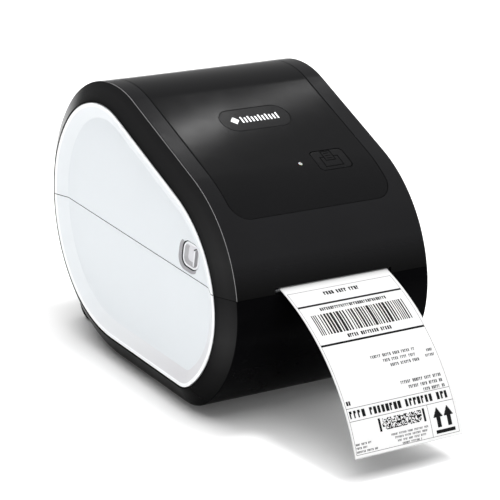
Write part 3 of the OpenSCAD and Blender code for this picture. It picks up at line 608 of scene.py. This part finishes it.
def slope_plate(name, material, at, size, top, low, edge, steps, corner=12):
    """A plate that follows the case's surface from depth top to depth low, its upper edge rounded by edge."""
    edge_steps, support = 4, 0.7
    c, (hw, hl, r) = at[0], size
    u0, u1 = at[1] - hl, at[1] + hl
    turns = [90 * k / corner for k in range(corner + 1)]

    def half_outline(inset):
        """(half width, height up the slope) pairs from the plate's lower edge to its upper edge."""
        h, rr = hw - inset, max(r - inset, 0.05)
        a, b = u0 + inset, u1 - inset
        out = [(h - rr + rr * sind(t), a + rr - rr * cosd(t)) for t in turns]
        out += [(h, u0 + r + (u1 - u0 - 2 * r) * k / steps) for k in range(1, steps)]
        return out + [(h - rr + rr * cosd(t), b - rr + rr * sind(t)) for t in turns]

    plan = [(0, low), (0, top + edge)]
    for k in range(1, edge_steps + 1):
        a = 90 * k / edge_steps
        plan.append((edge * (1 - cosd(a)), top + edge * (1 - sind(a))))
    plan.append((edge + support, top))
    bm = bmesh.new()
    rings = []
    for inset, depth in plan:
        rings.append([[bm.verts.new(from_slope(c + side * x, u, surf(u, depth))) for side in (-1, 1)]
                      for x, u in half_outline(inset)])
    for p, q in zip(rings, rings[1:]):
        n = len(p)
        for i in range(n - 1):
            for s in (0, 1):
                bm.faces.new((p[i][s], p[i + 1][s], q[i + 1][s], q[i][s]))
        for i in (0, n - 1):
            bm.faces.new((p[i][0], p[i][1], q[i][1], q[i][0]))
    for rows in (rings[0], rings[-1]):
        for a, b in zip(rows, rows[1:]):
            bm.faces.new((a[0], a[1], b[1], b[0]))
    return from_bmesh(name, bm, material)


def tint_faces(obj, extra, pick):
    """Gives faces the material that pick numbers for their centre (mm) and normal, 0 for the first one."""
    for material in extra:
        obj.data.materials.append(material)
    for face in obj.data.polygons:
        face.material_index = pick(face.center / MM, face.normal)


def done(obj, body, *nodes, slot):
    """The piece rides on a body and stands for the CAD nodes, which it hides; slot is not used."""
    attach(obj, body)
    if nodes:
        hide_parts(*nodes)


# ---------------------------------------------------------------- sizes that several pieces share, in mm
SIDES = ((-1, "left"), (1, "right"))
HINGE_X, BEHIND = (61.5, 84.5), (160, 200)  # the hinges' reach across, and a reach past the back of the case
# on the slope, a place is (across, up) of a centre, and a size is half width, half length and corner radius
PANEL_AT, PANEL, PANEL_GROOVE = (0, 48.75), (75.5, 91.25, 15), 0.5
BADGE_AT, BADGE, BADGE_RECESS = (1.2, 53.6), (32.4, 12.25, 12.2), (32.65, 12.4, 12.35)
BUTTON_AT, BUTTON, BUTTON_HOLE = (38.3, -1.8), (15.45, 10.2, 4), (16.0, 10.75, 4.25)
LAMP_AT, LAMP_R, LAMP_HOLE = (8.5, -1.8), 1.8, (1.85, 1.85, 1.84)


def grown(size, by):
    return tuple(v + by for v in size)


# ---------------------------------------------------------------- black shells
rail_fine = rail(1.25)
# the barrel's section across its width, as (x, depth): the slanted ring, the top, the wall's thickness
SKIN = supported(filleted(
    [(-100.85, 15), (-100.7, 14.5), (-CREASE_X, 0), (CREASE_X, 0), (100.7, 14.5), (100.85, 15), (97.9, 15),
     (89.6, 2.7), (-89.6, 2.7), (-97.9, 15)],
    [0.1, 0.3, 1.4, 1.4, 0.3, 0.1, 0, 2, 2, 0], seg=6))
# where the painted highlight lies across each crease
CREASE_HIGHLIGHT_X = (CREASE_X - 0.32, CREASE_X + 0.12)
# the reach of the lid's painted shade by the seam
LID_FRONT_X, LID_FRONT_Y = 90.7, -60


def lid_face(c, n):
    """1 on a painted highlight along both creases, 2 on the slanted ring, which carries painted light and
    shade, 3 on the front near the seam, which carries painted shade.
    """
    x = abs(c.x)
    if x > RING_X:
        return 2
    if CREASE_HIGHLIGHT_X[0] < x < CREASE_HIGHLIGHT_X[1] and abs(n.x) > 0.2:
        return 1
    return 3 if x < LID_FRONT_X and c.y < LID_FRONT_Y and c.z < LID_SHADE_TOP and n.y < 0 else 0


def shell(name, above, material):
    """The half of the barrel over or under the seam."""
    bm = loft(SKIN, rail_fine, True)
    slice_z(bm, SEAM + (GAP / 2 if above else -GAP / 2), above)
    return from_bmesh(name, bm, material)


def hinge_cuts(low, high):
    return [box_mesh(f"c_hinge{s}", sorted(s * x for x in HINGE_X), BEHIND, (low, high)) for s, _ in SIDES]


lid = shell("lid_shell_v", True, shell_black)
# the panel's recess follows the case's surface: the block, less all that lies deeper than the recess's floor
panel_cut = slope_prism("c_panel", PANEL_AT, grown(PANEL, PANEL_GROOVE), -60, 20)
boolean(panel_cut, [core_solid("c_deep", 82, 1.3)])
boolean(lid, [panel_cut,
              slope_prism("c_button", BUTTON_AT, grown(BUTTON_HOLE, 0.15), -12, 8),
              slope_prism("c_led", LAMP_AT, grown(LAMP_HOLE, 0.25), -12, 8),
              box_mesh("c_slot", (-55.5, 55.5), (-80, -60), (100, 110.4)),
              *hinge_cuts(100, 113)])
# the lid gets a painted highlight on its creases, painted light and shade on its rings and painted shade on
# its front by the seam
tint_faces(lid, (crease_painted_highlight, lid_ring_painted_light_black, lid_front_painted_shade), lid_face)
done(lid, "lid", "lid_shell", slot="shell_black")

base = shell("base_shell_v", False, base_painted_shade_black)
boolean(base, [box_mesh("c_ports", (-50, 50), (149, 190), (52, 90)),
               box_mesh("c_paper", (-56, 56), (150, 190), (97, 103)),
               box_mesh("c_floor", (-80.2, 80.2), (-20.2, 60.2), (4, 7.8)),
               *hinge_cuts(98, 120)])
# painted light and shade on the base's slanted rings
tint_faces(base, (ring_painted_light_black,), lambda c, n: int(abs(c.x) > RING_X))
done(base, "base", "base_shell", slot="shell_black")

# two stands under the round back, each with a round toe, fitted to the case
LEG_X, TOE_Y, TOE_Z, TOE_R = (57, 73), 136, 17.5, 16
leg_path = [(112, 40), (118, 1.6)]
leg_path += [(TOE_Y + TOE_R * cosd(a), TOE_Z + TOE_R * sind(a)) for a in range(-90, 1, 6)]
leg_path.append((TOE_Y + TOE_R, 60))
for s, side in SIDES:
    leg = plate_x(f"leg_{side}", leg_path, *sorted(s * x for x in LEG_X), base_painted_shade_black)
    boolean(leg, [core_solid("c_core", 100, 1.5)])
    bevel(leg, 0.9, 3, 50)
    done(leg, "base", "rear_legs", slot="shell_black")

# ---------------------------------------------------------------- white side covers
# a cover's section from its dish over the band and the outer edge to the inside, as (x, depth)
COVER = supported(filleted(
    [(95.5, 31), (95.5, 27.9), (SIDE_X, 17.9), (SIDE_X, 15.85), (93.6, 15.85), (93.6, 17.5), (98.5, 17.5),
     (93.1, 26.9), (93.1, 31)],
    [0, 4.5, 1.1, 0.7, 0.2, 0.2, 0.5, 2, 0], seg=6, closed=False), False)
COVER_GAP = 0.6  # width of the seam between the covers
BAND_X, COVER_EDGE_X = 95.62, 100.3  # where the band and the outer edge start
LATCH = (-14.3, 120.5)  # y and z of the latch button's axis
COLLAR, BEZEL, WELL, PAD = (12.4, 12.0, 8.9), (10.9, 10.5, 7.4), (10.85, 10.45, 7.35), (10.2, 9.8, 6.8)
BEZEL_FLARE = 2.5
WELL_REACH, WELL_X = (13.5, 13.2), (86, 95.74)  # what belongs to the well, round its axis and across


def side_solid(name, s, layers, material=None, smooth=30):
    """A solid on side s from (x, outline) layers, each outline of (y, z) points."""
    rings = [[Vector((s * x, y, z)) * MM for y, z in outline] for x, outline in layers]
    return solid(name, rings, material, smooth)


def latch_outline(size, grow=0.0):
    return [(LATCH[0] + y, LATCH[1] + z) for y, z in round_rect(*grown(size, grow), 12)]


def well_face(c, n):
    """1, painted shade, on the rear and lower slant of the latch's well, 2, painted shadow, on the walls of
    its gap and of the seam.
    """
    y, z, x = c.y - LATCH[0], c.z - LATCH[1], abs(c.x)
    if abs(n.z) > 0.9 and abs(c.z - SEAM) < 0.5:
        return 2
    if abs(y) > WELL_REACH[0] or abs(z) > WELL_REACH[1] or x < WELL_X[0] or x > WELL_X[1]:
        return 0
    hw, hl, r = BEZEL
    if abs(n.x) < 0.2 and math.hypot(max(abs(y) - (hw - r), 0), max(abs(z) - (hl - r), 0)) < r + 0.2:
        return 2 if n.z - n.y > -0.2 else 0
    return int(abs(n.x) < 0.95 and n.z - n.y > 0.02)


def cover_face(c, n):
    """The well's faces, 3 on the slanting band round the cover's dish, with painted light and shade, 4 on its
    outer edge, with a painted highlight.
    """
    x = abs(c.x)
    return well_face(c, n) or (4 if x > COVER_EDGE_X else 3 if x > BAND_X else 0)


for s, side in SIDES:
    for above, half in ((True, "upper"), (False, "lower")):
        bm = loft([(s * x, depth) for x, depth in COVER], rail_fine, False)
        slice_z(bm, SEAM + (COVER_GAP / 2 if above else -COVER_GAP / 2), above)
        cover = from_bmesh(f"{half}_cover_{side}_v", bm, cover_white)
        if above:
            collar = [(x, latch_outline(COLLAR)) for x in (87.5, 94.6)]
            bezel = [(94.2, latch_outline(BEZEL)), (95.75, latch_outline(BEZEL, BEZEL_FLARE))]
            well = [(x, latch_outline(WELL)) for x in (80, 96)]
            boolean(cover, [side_solid("c_collar", s, collar)], "UNION")
            boolean(cover, [side_solid("c_bezel", s, bezel), side_solid("c_well", s, well)], angle=24)
        # painted shade in the latch's well and gaps, painted light and shade on the band and a painted
        # highlight on the outer edge
        tint_faces(cover, (well_painted_shade, gap_painted_shadow_and_dot_dark, band_painted_light, edge_painted_highlight), cover_face)
        done(cover, "lid" if above else "base", f"{half}_cover_{side}", slot="cover_white")

# ---------------------------------------------------------------- latch buttons
# (inset, x) over the pad, from its hidden end over the raised rim into the dish
PAD_PLAN = [(0, 84), (0, 93.3), (0.12, 93.62), (0.4, 93.75), (1.3, 93.75), (1.55, 93.5), (2.7, 92.0),
            (3.3, 91.6), (4.1, 91.5)]
PAD_BACK_X, PAD_RIM_X, DISH_X = 84.1, 93.55, 91.55
GRIP_Y = (LATCH[0] - 4.6, LATCH[0] - 3.1)  # the grip stands towards the front of the dish


def pad_face(c, n):
    """1, a painted highlight, on the rim and the hidden end, 2, painted shade, on the dish's slants that face
    up or forward.
    """
    x = abs(c.x)
    if x < PAD_BACK_X or x > PAD_RIM_X:
        return 1
    return 2 if x > DISH_X and abs(n.x) > 0.1 and n.z - n.y > 0 else 0


def rectangle(y0, y1, z0, z1):
    return [(y0, z0), (y1, z0), (y1, z1), (y0, z1)]


def latch_button(s, side):
    """A pad with a raised rim, a dish and an upright grip, and the stem and hooked arm behind it."""
    body, slot = f"latch_{side}", "latch_grey"
    pad = side_solid(f"latch_pad_{side}", s, [(x, latch_outline(PAD, -inset)) for inset, x in PAD_PLAN],
                     latch_grey, 50)
    # the pad gets a painted highlight on its rim and painted shade on its dish's slants
    tint_faces(pad, (rim_painted_highlight, dish_painted_shade), pad_face)
    done(pad, body, f"latch_button_{side}", slot=slot)

    front, rear = GRIP_Y
    grip = side_solid(f"latch_grip_{side}", s, [
        (91.2, rectangle(front, rear, 112.9, 126.2)),
        (93.75, rectangle(front + 0.1, rear - 0.1, 113.1, 125.6))], rim_painted_highlight)
    bevel(grip, 0.2, 3)
    # the grip is in the painted-highlight white, with painted shade on its front face
    tint_faces(grip, (dish_painted_shade,), lambda c, n: int(n.y < -0.8))
    done(grip, body, slot=slot)
    # a thin sheet of painted shadow on the dish in front of the grip
    grip_painted_shadow = [(front + 0.1, 112.6), (front - 2.0, 112.9), (front - 2.9, 115.6), (front - 2.9, 125.4),
              (front - 2.0, 126.6), (front + 0.1, 126.9)]
    done(side_solid(f"latch_grip_painted_shadow_{side}", s, [(91.3, grip_painted_shadow), (91.62, grip_painted_shadow)], dish_painted_shade), body, slot=slot)
    dot_at = ((front + rear) / 2 + 0.8, 126.0)
    dot = lathe_x(f"latch_dot_{side}", [(91.4, 0.55), (93.7, 0.55)], s, dot_at, gap_painted_shadow_and_dot_dark, 24)
    done(dot, body, slot=slot)

    stem = lathe_x(f"latch_stem_{side}", [(73, 2.6), (73.4, 3), (84.1, 3)], s, LATCH, latch_grey)
    done(stem, body, slot=slot)
    arm_points = [(84, 110.7), (84, 96.4), (84.4, 96), (86.1, 96), (86.7, 98), (86.7, 100.2), (86.4, 100.5),
                  (86, 100.5), (86, 110.7)]
    arm = solid(f"latch_arm_{side}", [[Vector((s * x, LATCH[0] + y, z)) * MM for x, z in arm_points]
                                      for y in (-4, 4)], latch_grey)
    bevel(arm, 0.3, 2)
    done(arm, body, slot=slot)


for s, side in SIDES:
    latch_button(s, side)

# ---------------------------------------------------------------- top panel, badge, button and lamp
panel = slope_plate("top_panel_v", panel_black, PANEL_AT, PANEL, 0.0, 1.2, edge=0.5, steps=90)
boolean(panel, [slope_prism("c_pb", BUTTON_AT, BUTTON_HOLE, -12, 8),
                slope_prism("c_pl", LAMP_AT, LAMP_HOLE, -12, 8),
                slope_prism("c_pp", BADGE_AT, BADGE_RECESS, -0.55, 8)])
done(panel, "lid", "top_panel", slot="panel_black")
badge = slope_plate("badge_v", badge_black, BADGE_AT, BADGE, 0.06, 0.5, edge=0.25, steps=2)
done(badge, "lid", "badge_plate", slot="badge_grey")
button = slope_plate("feed_button_v", button_black, BUTTON_AT, BUTTON, 0.05, 4.2,
                     edge=0.45, steps=30, corner=8)
done(button, "feed_button", "feed_button", slot="button_black")
# the lamp's lens is a small dome, from (radius, height out of the slope) pairs
LENS_PLAN = [(LAMP_R, -5), (LAMP_R, -0.45), (1.72, -0.2), (1.45, -0.06), (0.9, -0.02)]
lamp = solid("led_lens_v", [[from_slope(LAMP_AT[0] + r * cosd(a), LAMP_AT[1] + r * sind(a), w)
                             for a in range(0, 360, 10)] for r, w in LENS_PLAN], lens)
done(lamp, "lid", "led_lens", slot="lens")

# ---------------------------------------------------------------- marks on the button and the badge
MARK_CELL, MARK_TOP, MARK_THICK = 0.8, 0.02, 0.06


def mark_cells(quad):
    """Cuts a quadrilateral into pieces small enough to follow the curved surface."""
    a0, a1, b1, b0 = (Vector(q) for q in quad)
    n = max(1, math.ceil((b0 - a0).length / MARK_CELL))
    m = max(1, math.ceil((a1 - a0).length / MARK_CELL))
    return [[a0.lerp(a1, q / m).lerp(b0.lerp(b1, q / m), p / n)
             for p, q in ((i, j), (i, j + 1), (i + 1, j + 1), (i + 1, j))]
            for i in range(n) for j in range(m)]


def slope_marks(name, material, at, quads, depth):
    """Thin flat strips on a surface drawn in by depth, from quadrilaterals in (across, up) coordinates."""
    bm = bmesh.new()
    for quad in quads:
        for cell in mark_cells(quad):
            add_tube(bm, [[from_slope(at[0] + x, at[1] + y, surf(at[1] + y, depth) + w) for x, y in cell]
                          for w in (MARK_TOP - MARK_THICK, MARK_TOP)])
    return from_bmesh(name, bm, material)


def stroke(a, b, width):
    """A straight line with square ends, as a quadrilateral."""
    along = (Vector(b) - Vector(a)).normalized() * width / 2
    across = Vector((-along.y, along.x))
    a, b = Vector(a) - along, Vector(b) + along
    return [tuple(a - across), tuple(b - across), tuple(b + across), tuple(a + across)]


def strokes(points, width, closed):
    ends = points[1:] + points[:1] if closed else points[1:]
    return [stroke(a, b, width) for a, b in zip(points, ends)]


# a sheet with three lines on it, coming out of a tray
icon = strokes([(-5.1, -0.8), (-5.1, 9.1), (3.9, 9.1), (3.9, -0.8)], 1.05, True)
icon += [stroke((-2.7, v), (1.5, v), 0.9) for v in (6.9, 4.2, 1.5)]
icon += strokes([(-5.5, 3.0), (-9.0, 3.0), (-9.0, -7.0), (7.8, -7.0), (7.8, 3.0), (4.3, 3.0)], 1.05, False)
done(slope_marks("feed_icon", icon_black, BUTTON_AT, icon, 0.05), "feed_button", slot="button_black")

# a plain diamond and a row of bars
DIAMOND_X, DIAMOND_R = -19.2, 4.0
BARS_X, BAR_PITCH, BAR_W, BAR_LOW = -13.2, 3.35, 1.5, -3.3
bars = [[(DIAMOND_X - DIAMOND_R, 0.0), (DIAMOND_X, -DIAMOND_R),
         (DIAMOND_X + DIAMOND_R, 0.0), (DIAMOND_X, DIAMOND_R)]]
for k, tall in enumerate((3.3, 2.2, 3.3, 2.2, 2.2, 3.3, 2.2, 3.3, 2.2, 2.2, 3.3)):
    bars.append(rectangle(BARS_X + BAR_PITCH * k, BARS_X + BAR_PITCH * k + BAR_W, BAR_LOW, tall))
done(slope_marks("badge_bars", mark_white, BADGE_AT, bars, 0.06), "lid", slot="badge_grey")

# ---------------------------------------------------------------- the label and its liner, out of the slot
EXIT_AT, EXIT_ANGLE = Vector((-69.0, 109.5)), 15  # (y, z) and slope in degrees of the paper at the slot
DROOP_R, DROOP_TURN = 170.0, 49  # radius and turn in degrees of its fall outside
LABEL_END = DROOP_R * math.radians(DROOP_TURN)
ROLL_TOP = Vector((48.85, 141.08))  # where the paper leaves the roll
WEB_START = -(EXIT_AT - ROLL_TOP).length
LINER_X, LABEL_X, LABEL_MARGIN = 51.5, 50.9, 0.6
# heights over the paper's middle surface; the print starts just inside the label's face
LINER_LOW, LABEL_LOW, LABEL_TOP, PRINT_LOW = -0.12, -0.02, 0.09, 0.085


def label_frame(s):
    """Place and outward direction on the paper, s millimetres along it from the slot."""
    if s < 0:
        along, out = (-cosd(EXIT_ANGLE), -sind(EXIT_ANGLE)), (-sind(EXIT_ANGLE), cosd(EXIT_ANGLE))
        return EXIT_AT + Vector(along) * s, Vector(out)
    a = EXIT_ANGLE + math.degrees(s / DROOP_R)
    fall = Vector((sind(EXIT_ANGLE) - sind(a), cosd(a) - cosd(EXIT_ANGLE)))
    return EXIT_AT + DROOP_R * fall, Vector((-sind(a), cosd(a)))


def label_piece(name, patches, w0, w1, material, step=3.0):
    """Patches (x0, x1, s0, s1) between two heights over the paper's middle surface."""
    bm = bmesh.new()
    for x0, x1, s0, s1 in patches:
        n = max(1, math.ceil((s1 - s0) / step))
        rings = []
        for k in range(n + 1):
            place, out = label_frame(s0 + (s1 - s0) * k / n)
            corners = [(x, place + out * w) for x, w in rectangle(x0, x1, w0, w1)]
            rings.append([(x * MM, p.x * MM, p.y * MM) for x, p in corners])
        add_tube(bm, rings)
    return from_bmesh(name, bm, material)


web = label_piece("label_liner_v", [(-LINER_X, LINER_X, WEB_START, LABEL_END)], LINER_LOW, LABEL_LOW, liner)
done(web, "base", "label_strip", slot="paper")
stock = [(-LABEL_X, LABEL_X, WEB_START, LABEL_END - LABEL_MARGIN)]
face = label_piece("label_face_v", stock, LABEL_LOW, LABEL_TOP, paper)
done(face, "base", slot="paper")

# ---------------------------------------------------------------- the label's print, all of it unreadable
rng = random.Random(11)
FRAME_LEFT, FRAME_RIGHT, FRAME_TOP, FRAME_FOOT, FRAME_W = -49.6, 48.8, 8.0, 142.9, 0.34
CODE_LEFT, CODE_TOP, CODE_W, CODE_H, CODE_CELL = -21.0, 120.8, 38.0, 8.6, 0.78
ARROW_X, ARROW_TIP, ARROW_NECK, ARROW_FOOT = (31.2, 41.2), 121.0, 129.0, 136.6


def rule(x0, x1, s, width):
    return (x0, x1, s - width / 2, s + width / 2)


def border(x0, x1, s0, s1, w):
    return [(x0, x0 + w, s0, s1), (x1 - w, x1, s0, s1), (x0, x1, s0, s0 + w), (x0, x1, s1 - w, s1)]


def greeked(x0, x1, s, height, word, space):
    """A line of set type shown as words of plain letter-sized marks; word is the range of a word's length."""
    pitch = height * 0.68
    top, waist, foot = s - height / 2, s - height * 0.12, s + height / 2
    out, x = [], x0
    while x < x1 - 1:
        end = min(x1, x + rng.uniform(*word))
        while x < end - pitch * 0.5:
            w = pitch * rng.choice((0.62, 0.7, 0.78))
            if rng.random() < 0.5:
                out.append((x, x + w, top, foot))
            else:
                out += [(x, x + w, top, waist), (x, x + w * 0.55, waist, foot)]
            x += pitch
        x += space
    return out


def paragraph(lines, s, lead, height, word, space):
    """Greeked lines from x0 to x1 each, lead apart."""
    out = []
    for k, (x0, x1) in enumerate(lines):
        out += greeked(x0, x1, s + lead * k, height, word, space)
    return out


def barcode(x0, x1, s0, s1):
    out, x = [], x0
    while x < x1:
        w = rng.choice((0.9, 0.9, 1.4, 1.4, 1.9, 2.4))
        out.append((x, x + w, s0, s1))
        x += w + rng.choice((0.9, 0.9, 1.3, 1.3, 1.9))
    return out


def square_code():
    """A two-dimensional code of random cells, which overlap a little so that neighbours join."""
    side = 1.02 * CODE_CELL
    out = []
    for i in range(int(CODE_W / CODE_CELL)):
        for j in range(int(CODE_H / CODE_CELL)):
            if rng.random() < 0.56:
                x, s = CODE_LEFT + i * CODE_CELL, CODE_TOP + j * CODE_CELL
                out.append((x, x + side, s, s + side))
    return out


def up_arrow(cx):
    """A stepped head on a plain shaft."""
    head = [(cx - 0.62 * k, cx + 0.62 * k, ARROW_TIP + k, ARROW_TIP + k + 1) for k in range(1, 8)]
    return head + [(cx - 1.9, cx + 1.9, ARROW_NECK, ARROW_FOOT)]


ink = greeked(-19, 15, 13.4, 3.6, (7, 12), 2.2)
ink += [rule(-49.3, 48.4, s, 1.7) for s in (23.0, 58.8)]
ink += barcode(-43.6, 43.2, 32.0, 50.4)
ink += greeked(-22, 20.5, 54.2, 3.1, (8, 18), 2.0)
ink += greeked(-48, -42.6, 105.0, 3.2, (6, 7), 2.0)
ink += greeked(-48, 46, 113.6, 5.6, (14, 30), 3.4)
ink += square_code()
ink += [(x, x + 2.0, 120.2, 130.0) for x in (-24.2, 17.8)]
# a plain pair of up arrows over a bar stands where the service mark is
ink.append((27.0, 45.4, 138.4, 141.0))
# the row of numbers over the barcode is one long word
ink += greeked(-32, 31.6, 27.8, 2.9, (64, 65), 1.0)
for cx in ARROW_X:
    ink += up_arrow(cx)

fine = border(FRAME_LEFT, FRAME_RIGHT, FRAME_TOP, FRAME_FOOT, FRAME_W)
fine += [rule(FRAME_LEFT, FRAME_RIGHT, s, 0.4) for s in (108.8, 118.4)]
fine.append((23.0, 23.4, 118.4, FRAME_FOOT))

grey = paragraph(((-12, 31), (-2, 31.4), (3, 31.4)), 75.0, 4.3, 2.4, (5, 11), 1.6)
grey += greeked(37.2, 45.7, 82.2, 2.2, (8, 9), 1.1) + greeked(40, 45.4, 78.2, 2.2, (5, 6), 1.1)
grey += paragraph(((6, 45), (12, 45), (24.5, 45)), 98.3, 4.2, 2.4, (5, 11), 1.6)
grey += paragraph(((-15, 20.8), (-12, 19), (-10, 18), (-6, 13)), 133.8, 2.6, 1.5, (4, 9), 1.2)
grey += paragraph(((-48.7, -34), (-48.7, -38), (-48.7, -29)), 135.4, 2.7, 1.5, (4, 9), 1.2)

done(label_piece("print_black", ink, PRINT_LOW, 0.12, ink_black, 2.0), "base", slot="paper")
done(label_piece("print_fine", fine, PRINT_LOW, 0.11, ink_grey), "base", slot="paper")
done(label_piece("print_grey", grey, PRINT_LOW, 0.115, ink_grey), "base", slot="paper")

# ---------------------------------------------------------------- CAD nodes that keep their shape
FINISHES = [
    (base_painted_shade_black, "bottom_plate"),
    (button_black, "power_rocker"),
    (rubber_black, "rubber_feet"),
    (platen_black, "platen_rubber"),
    (dark_trim, "rear_panel", "port_surround", "dc_jack", "switch_housing", "label_sensor", "hinge_brackets"),
    (frame_grey, "media_tray", "holder_track", "feed_frame", "lid_frame"),
    (green_plastic, "roll_holder_left", "roll_holder_right"),
    (ivory_plastic, "holder_pinion", "platen_bushes", "platen_gear", "idler_gear"),
    (board_green, "main_board", "button_board"),
    (card, "roll_core"),
    (wound, "label_roll"),
    (ceramic, "print_head"),
    (aluminium, "heat_sink"),
    (brass, "motor_pinion"),
    (motor_metal, "drive_motor"),
    (steel, "usb_port", "platen_shaft", "idler_pin", "tear_bar", "hinge_pins", "head_carrier", "head_rod",
     "latch_strikers"),
    (screw_steel, "case_screws", "board_screws", "motor_screws", "head_screws", "head_springs",
     "latch_springs"),
]
for material, *names in FINISHES:
    for name in names:
        for slot in NODES[name].material_slots:
            slot.material = material

# ---------------------------------------------------------------- floor and light, in metres
bm = bmesh.new()
bmesh.ops.create_grid(bm, x_segments=2, y_segments=2, size=12)
n = Nodes("floor_white")
n.link(n.two_tone(n.noise(3.0), (0.86, 0.86, 0.86), (0.88, 0.88, 0.88)), n.bsdf.inputs["Base Color"])
n.set(Roughness=0.9, Specular_IOR_Level=0.1)
from_bmesh("floor", bm, n.mat)

world = bpy.data.worlds.new("studio")
bpy.context.scene.world = world
world.use_nodes = True
background = world.node_tree.nodes["Background"]
background.inputs["Color"].default_value = (1, 1, 1, 1)
background.inputs["Strength"].default_value = 0.4


def area_light(name, width, height, power):
    data = bpy.data.lights.new(name, "AREA")
    data.shape = "RECTANGLE"
    data.size, data.size_y = width, height
    data.energy = power
    obj = bpy.data.objects.new(name, data)
    bpy.context.scene.collection.objects.link(obj)
    return obj


def studio_light(name, at, look, size, power, seen_in_gloss=False):
    """A light aimed at a point; unless it is seen in gloss, it lights the whites and not the blacks."""
    obj = area_light(name, *size, power)
    obj.location = at
    obj.rotation_euler = (Vector(look) - Vector(at)).to_track_quat("-Z", "Y").to_euler()
    obj.visible_glossy = seen_in_gloss


def streak(name, ends, power, reach=1.0, width=0.02):
    """A narrow light placed by reflection in the sloping panel, so that its streak joins two places there."""
    spots = []
    for c, u in ends:
        p = from_slope(c, u, 0)
        v = (camera.matrix_world.translation - p).normalized()
        n = Vector((0, -sind(SLOPE), cosd(SLOPE)))
        spots.append(p + (2 * n.dot(v) * n - v) * reach)
    a, b = spots
    middle, x = (a + b) / 2, (b - a).normalized()
    z = middle - from_slope((ends[0][0] + ends[1][0]) / 2, (ends[0][1] + ends[1][1]) / 2, 0)
    z = (z - x * z.dot(x)).normalized()
    turned = Matrix((x, z.cross(x), z)).transposed().to_4x4()
    area_light(name, (b - a).length, width, power).matrix_world = Matrix.Translation(middle) @ turned


studio_light("top", (0.05, 0.2, 2.0), (0.05, 0.1, 0.0), (3.0, 3.0), 92)
studio_light("spot", (0.3, 0.1, 2.6), (0.0, 0.0, 0.0), (0.45, 0.45), 30)
studio_light("side", (-2.2, -1.0, 0.6), (0, 0.0, 0.1), (1.4, 0.9), 2, seen_in_gloss=True)
studio_light("front", (0.3, -2.3, 0.12), (0.0, -0.15, 0.06), (1.2, 0.2), 38)
streak("band_a", ((-112, 37), (-25, 58)), 0.04)
streak("band_b", ((-112, 37), (105, 88)), 0.065)
bpy.context.scene.view_settings.view_transform = "Standard"
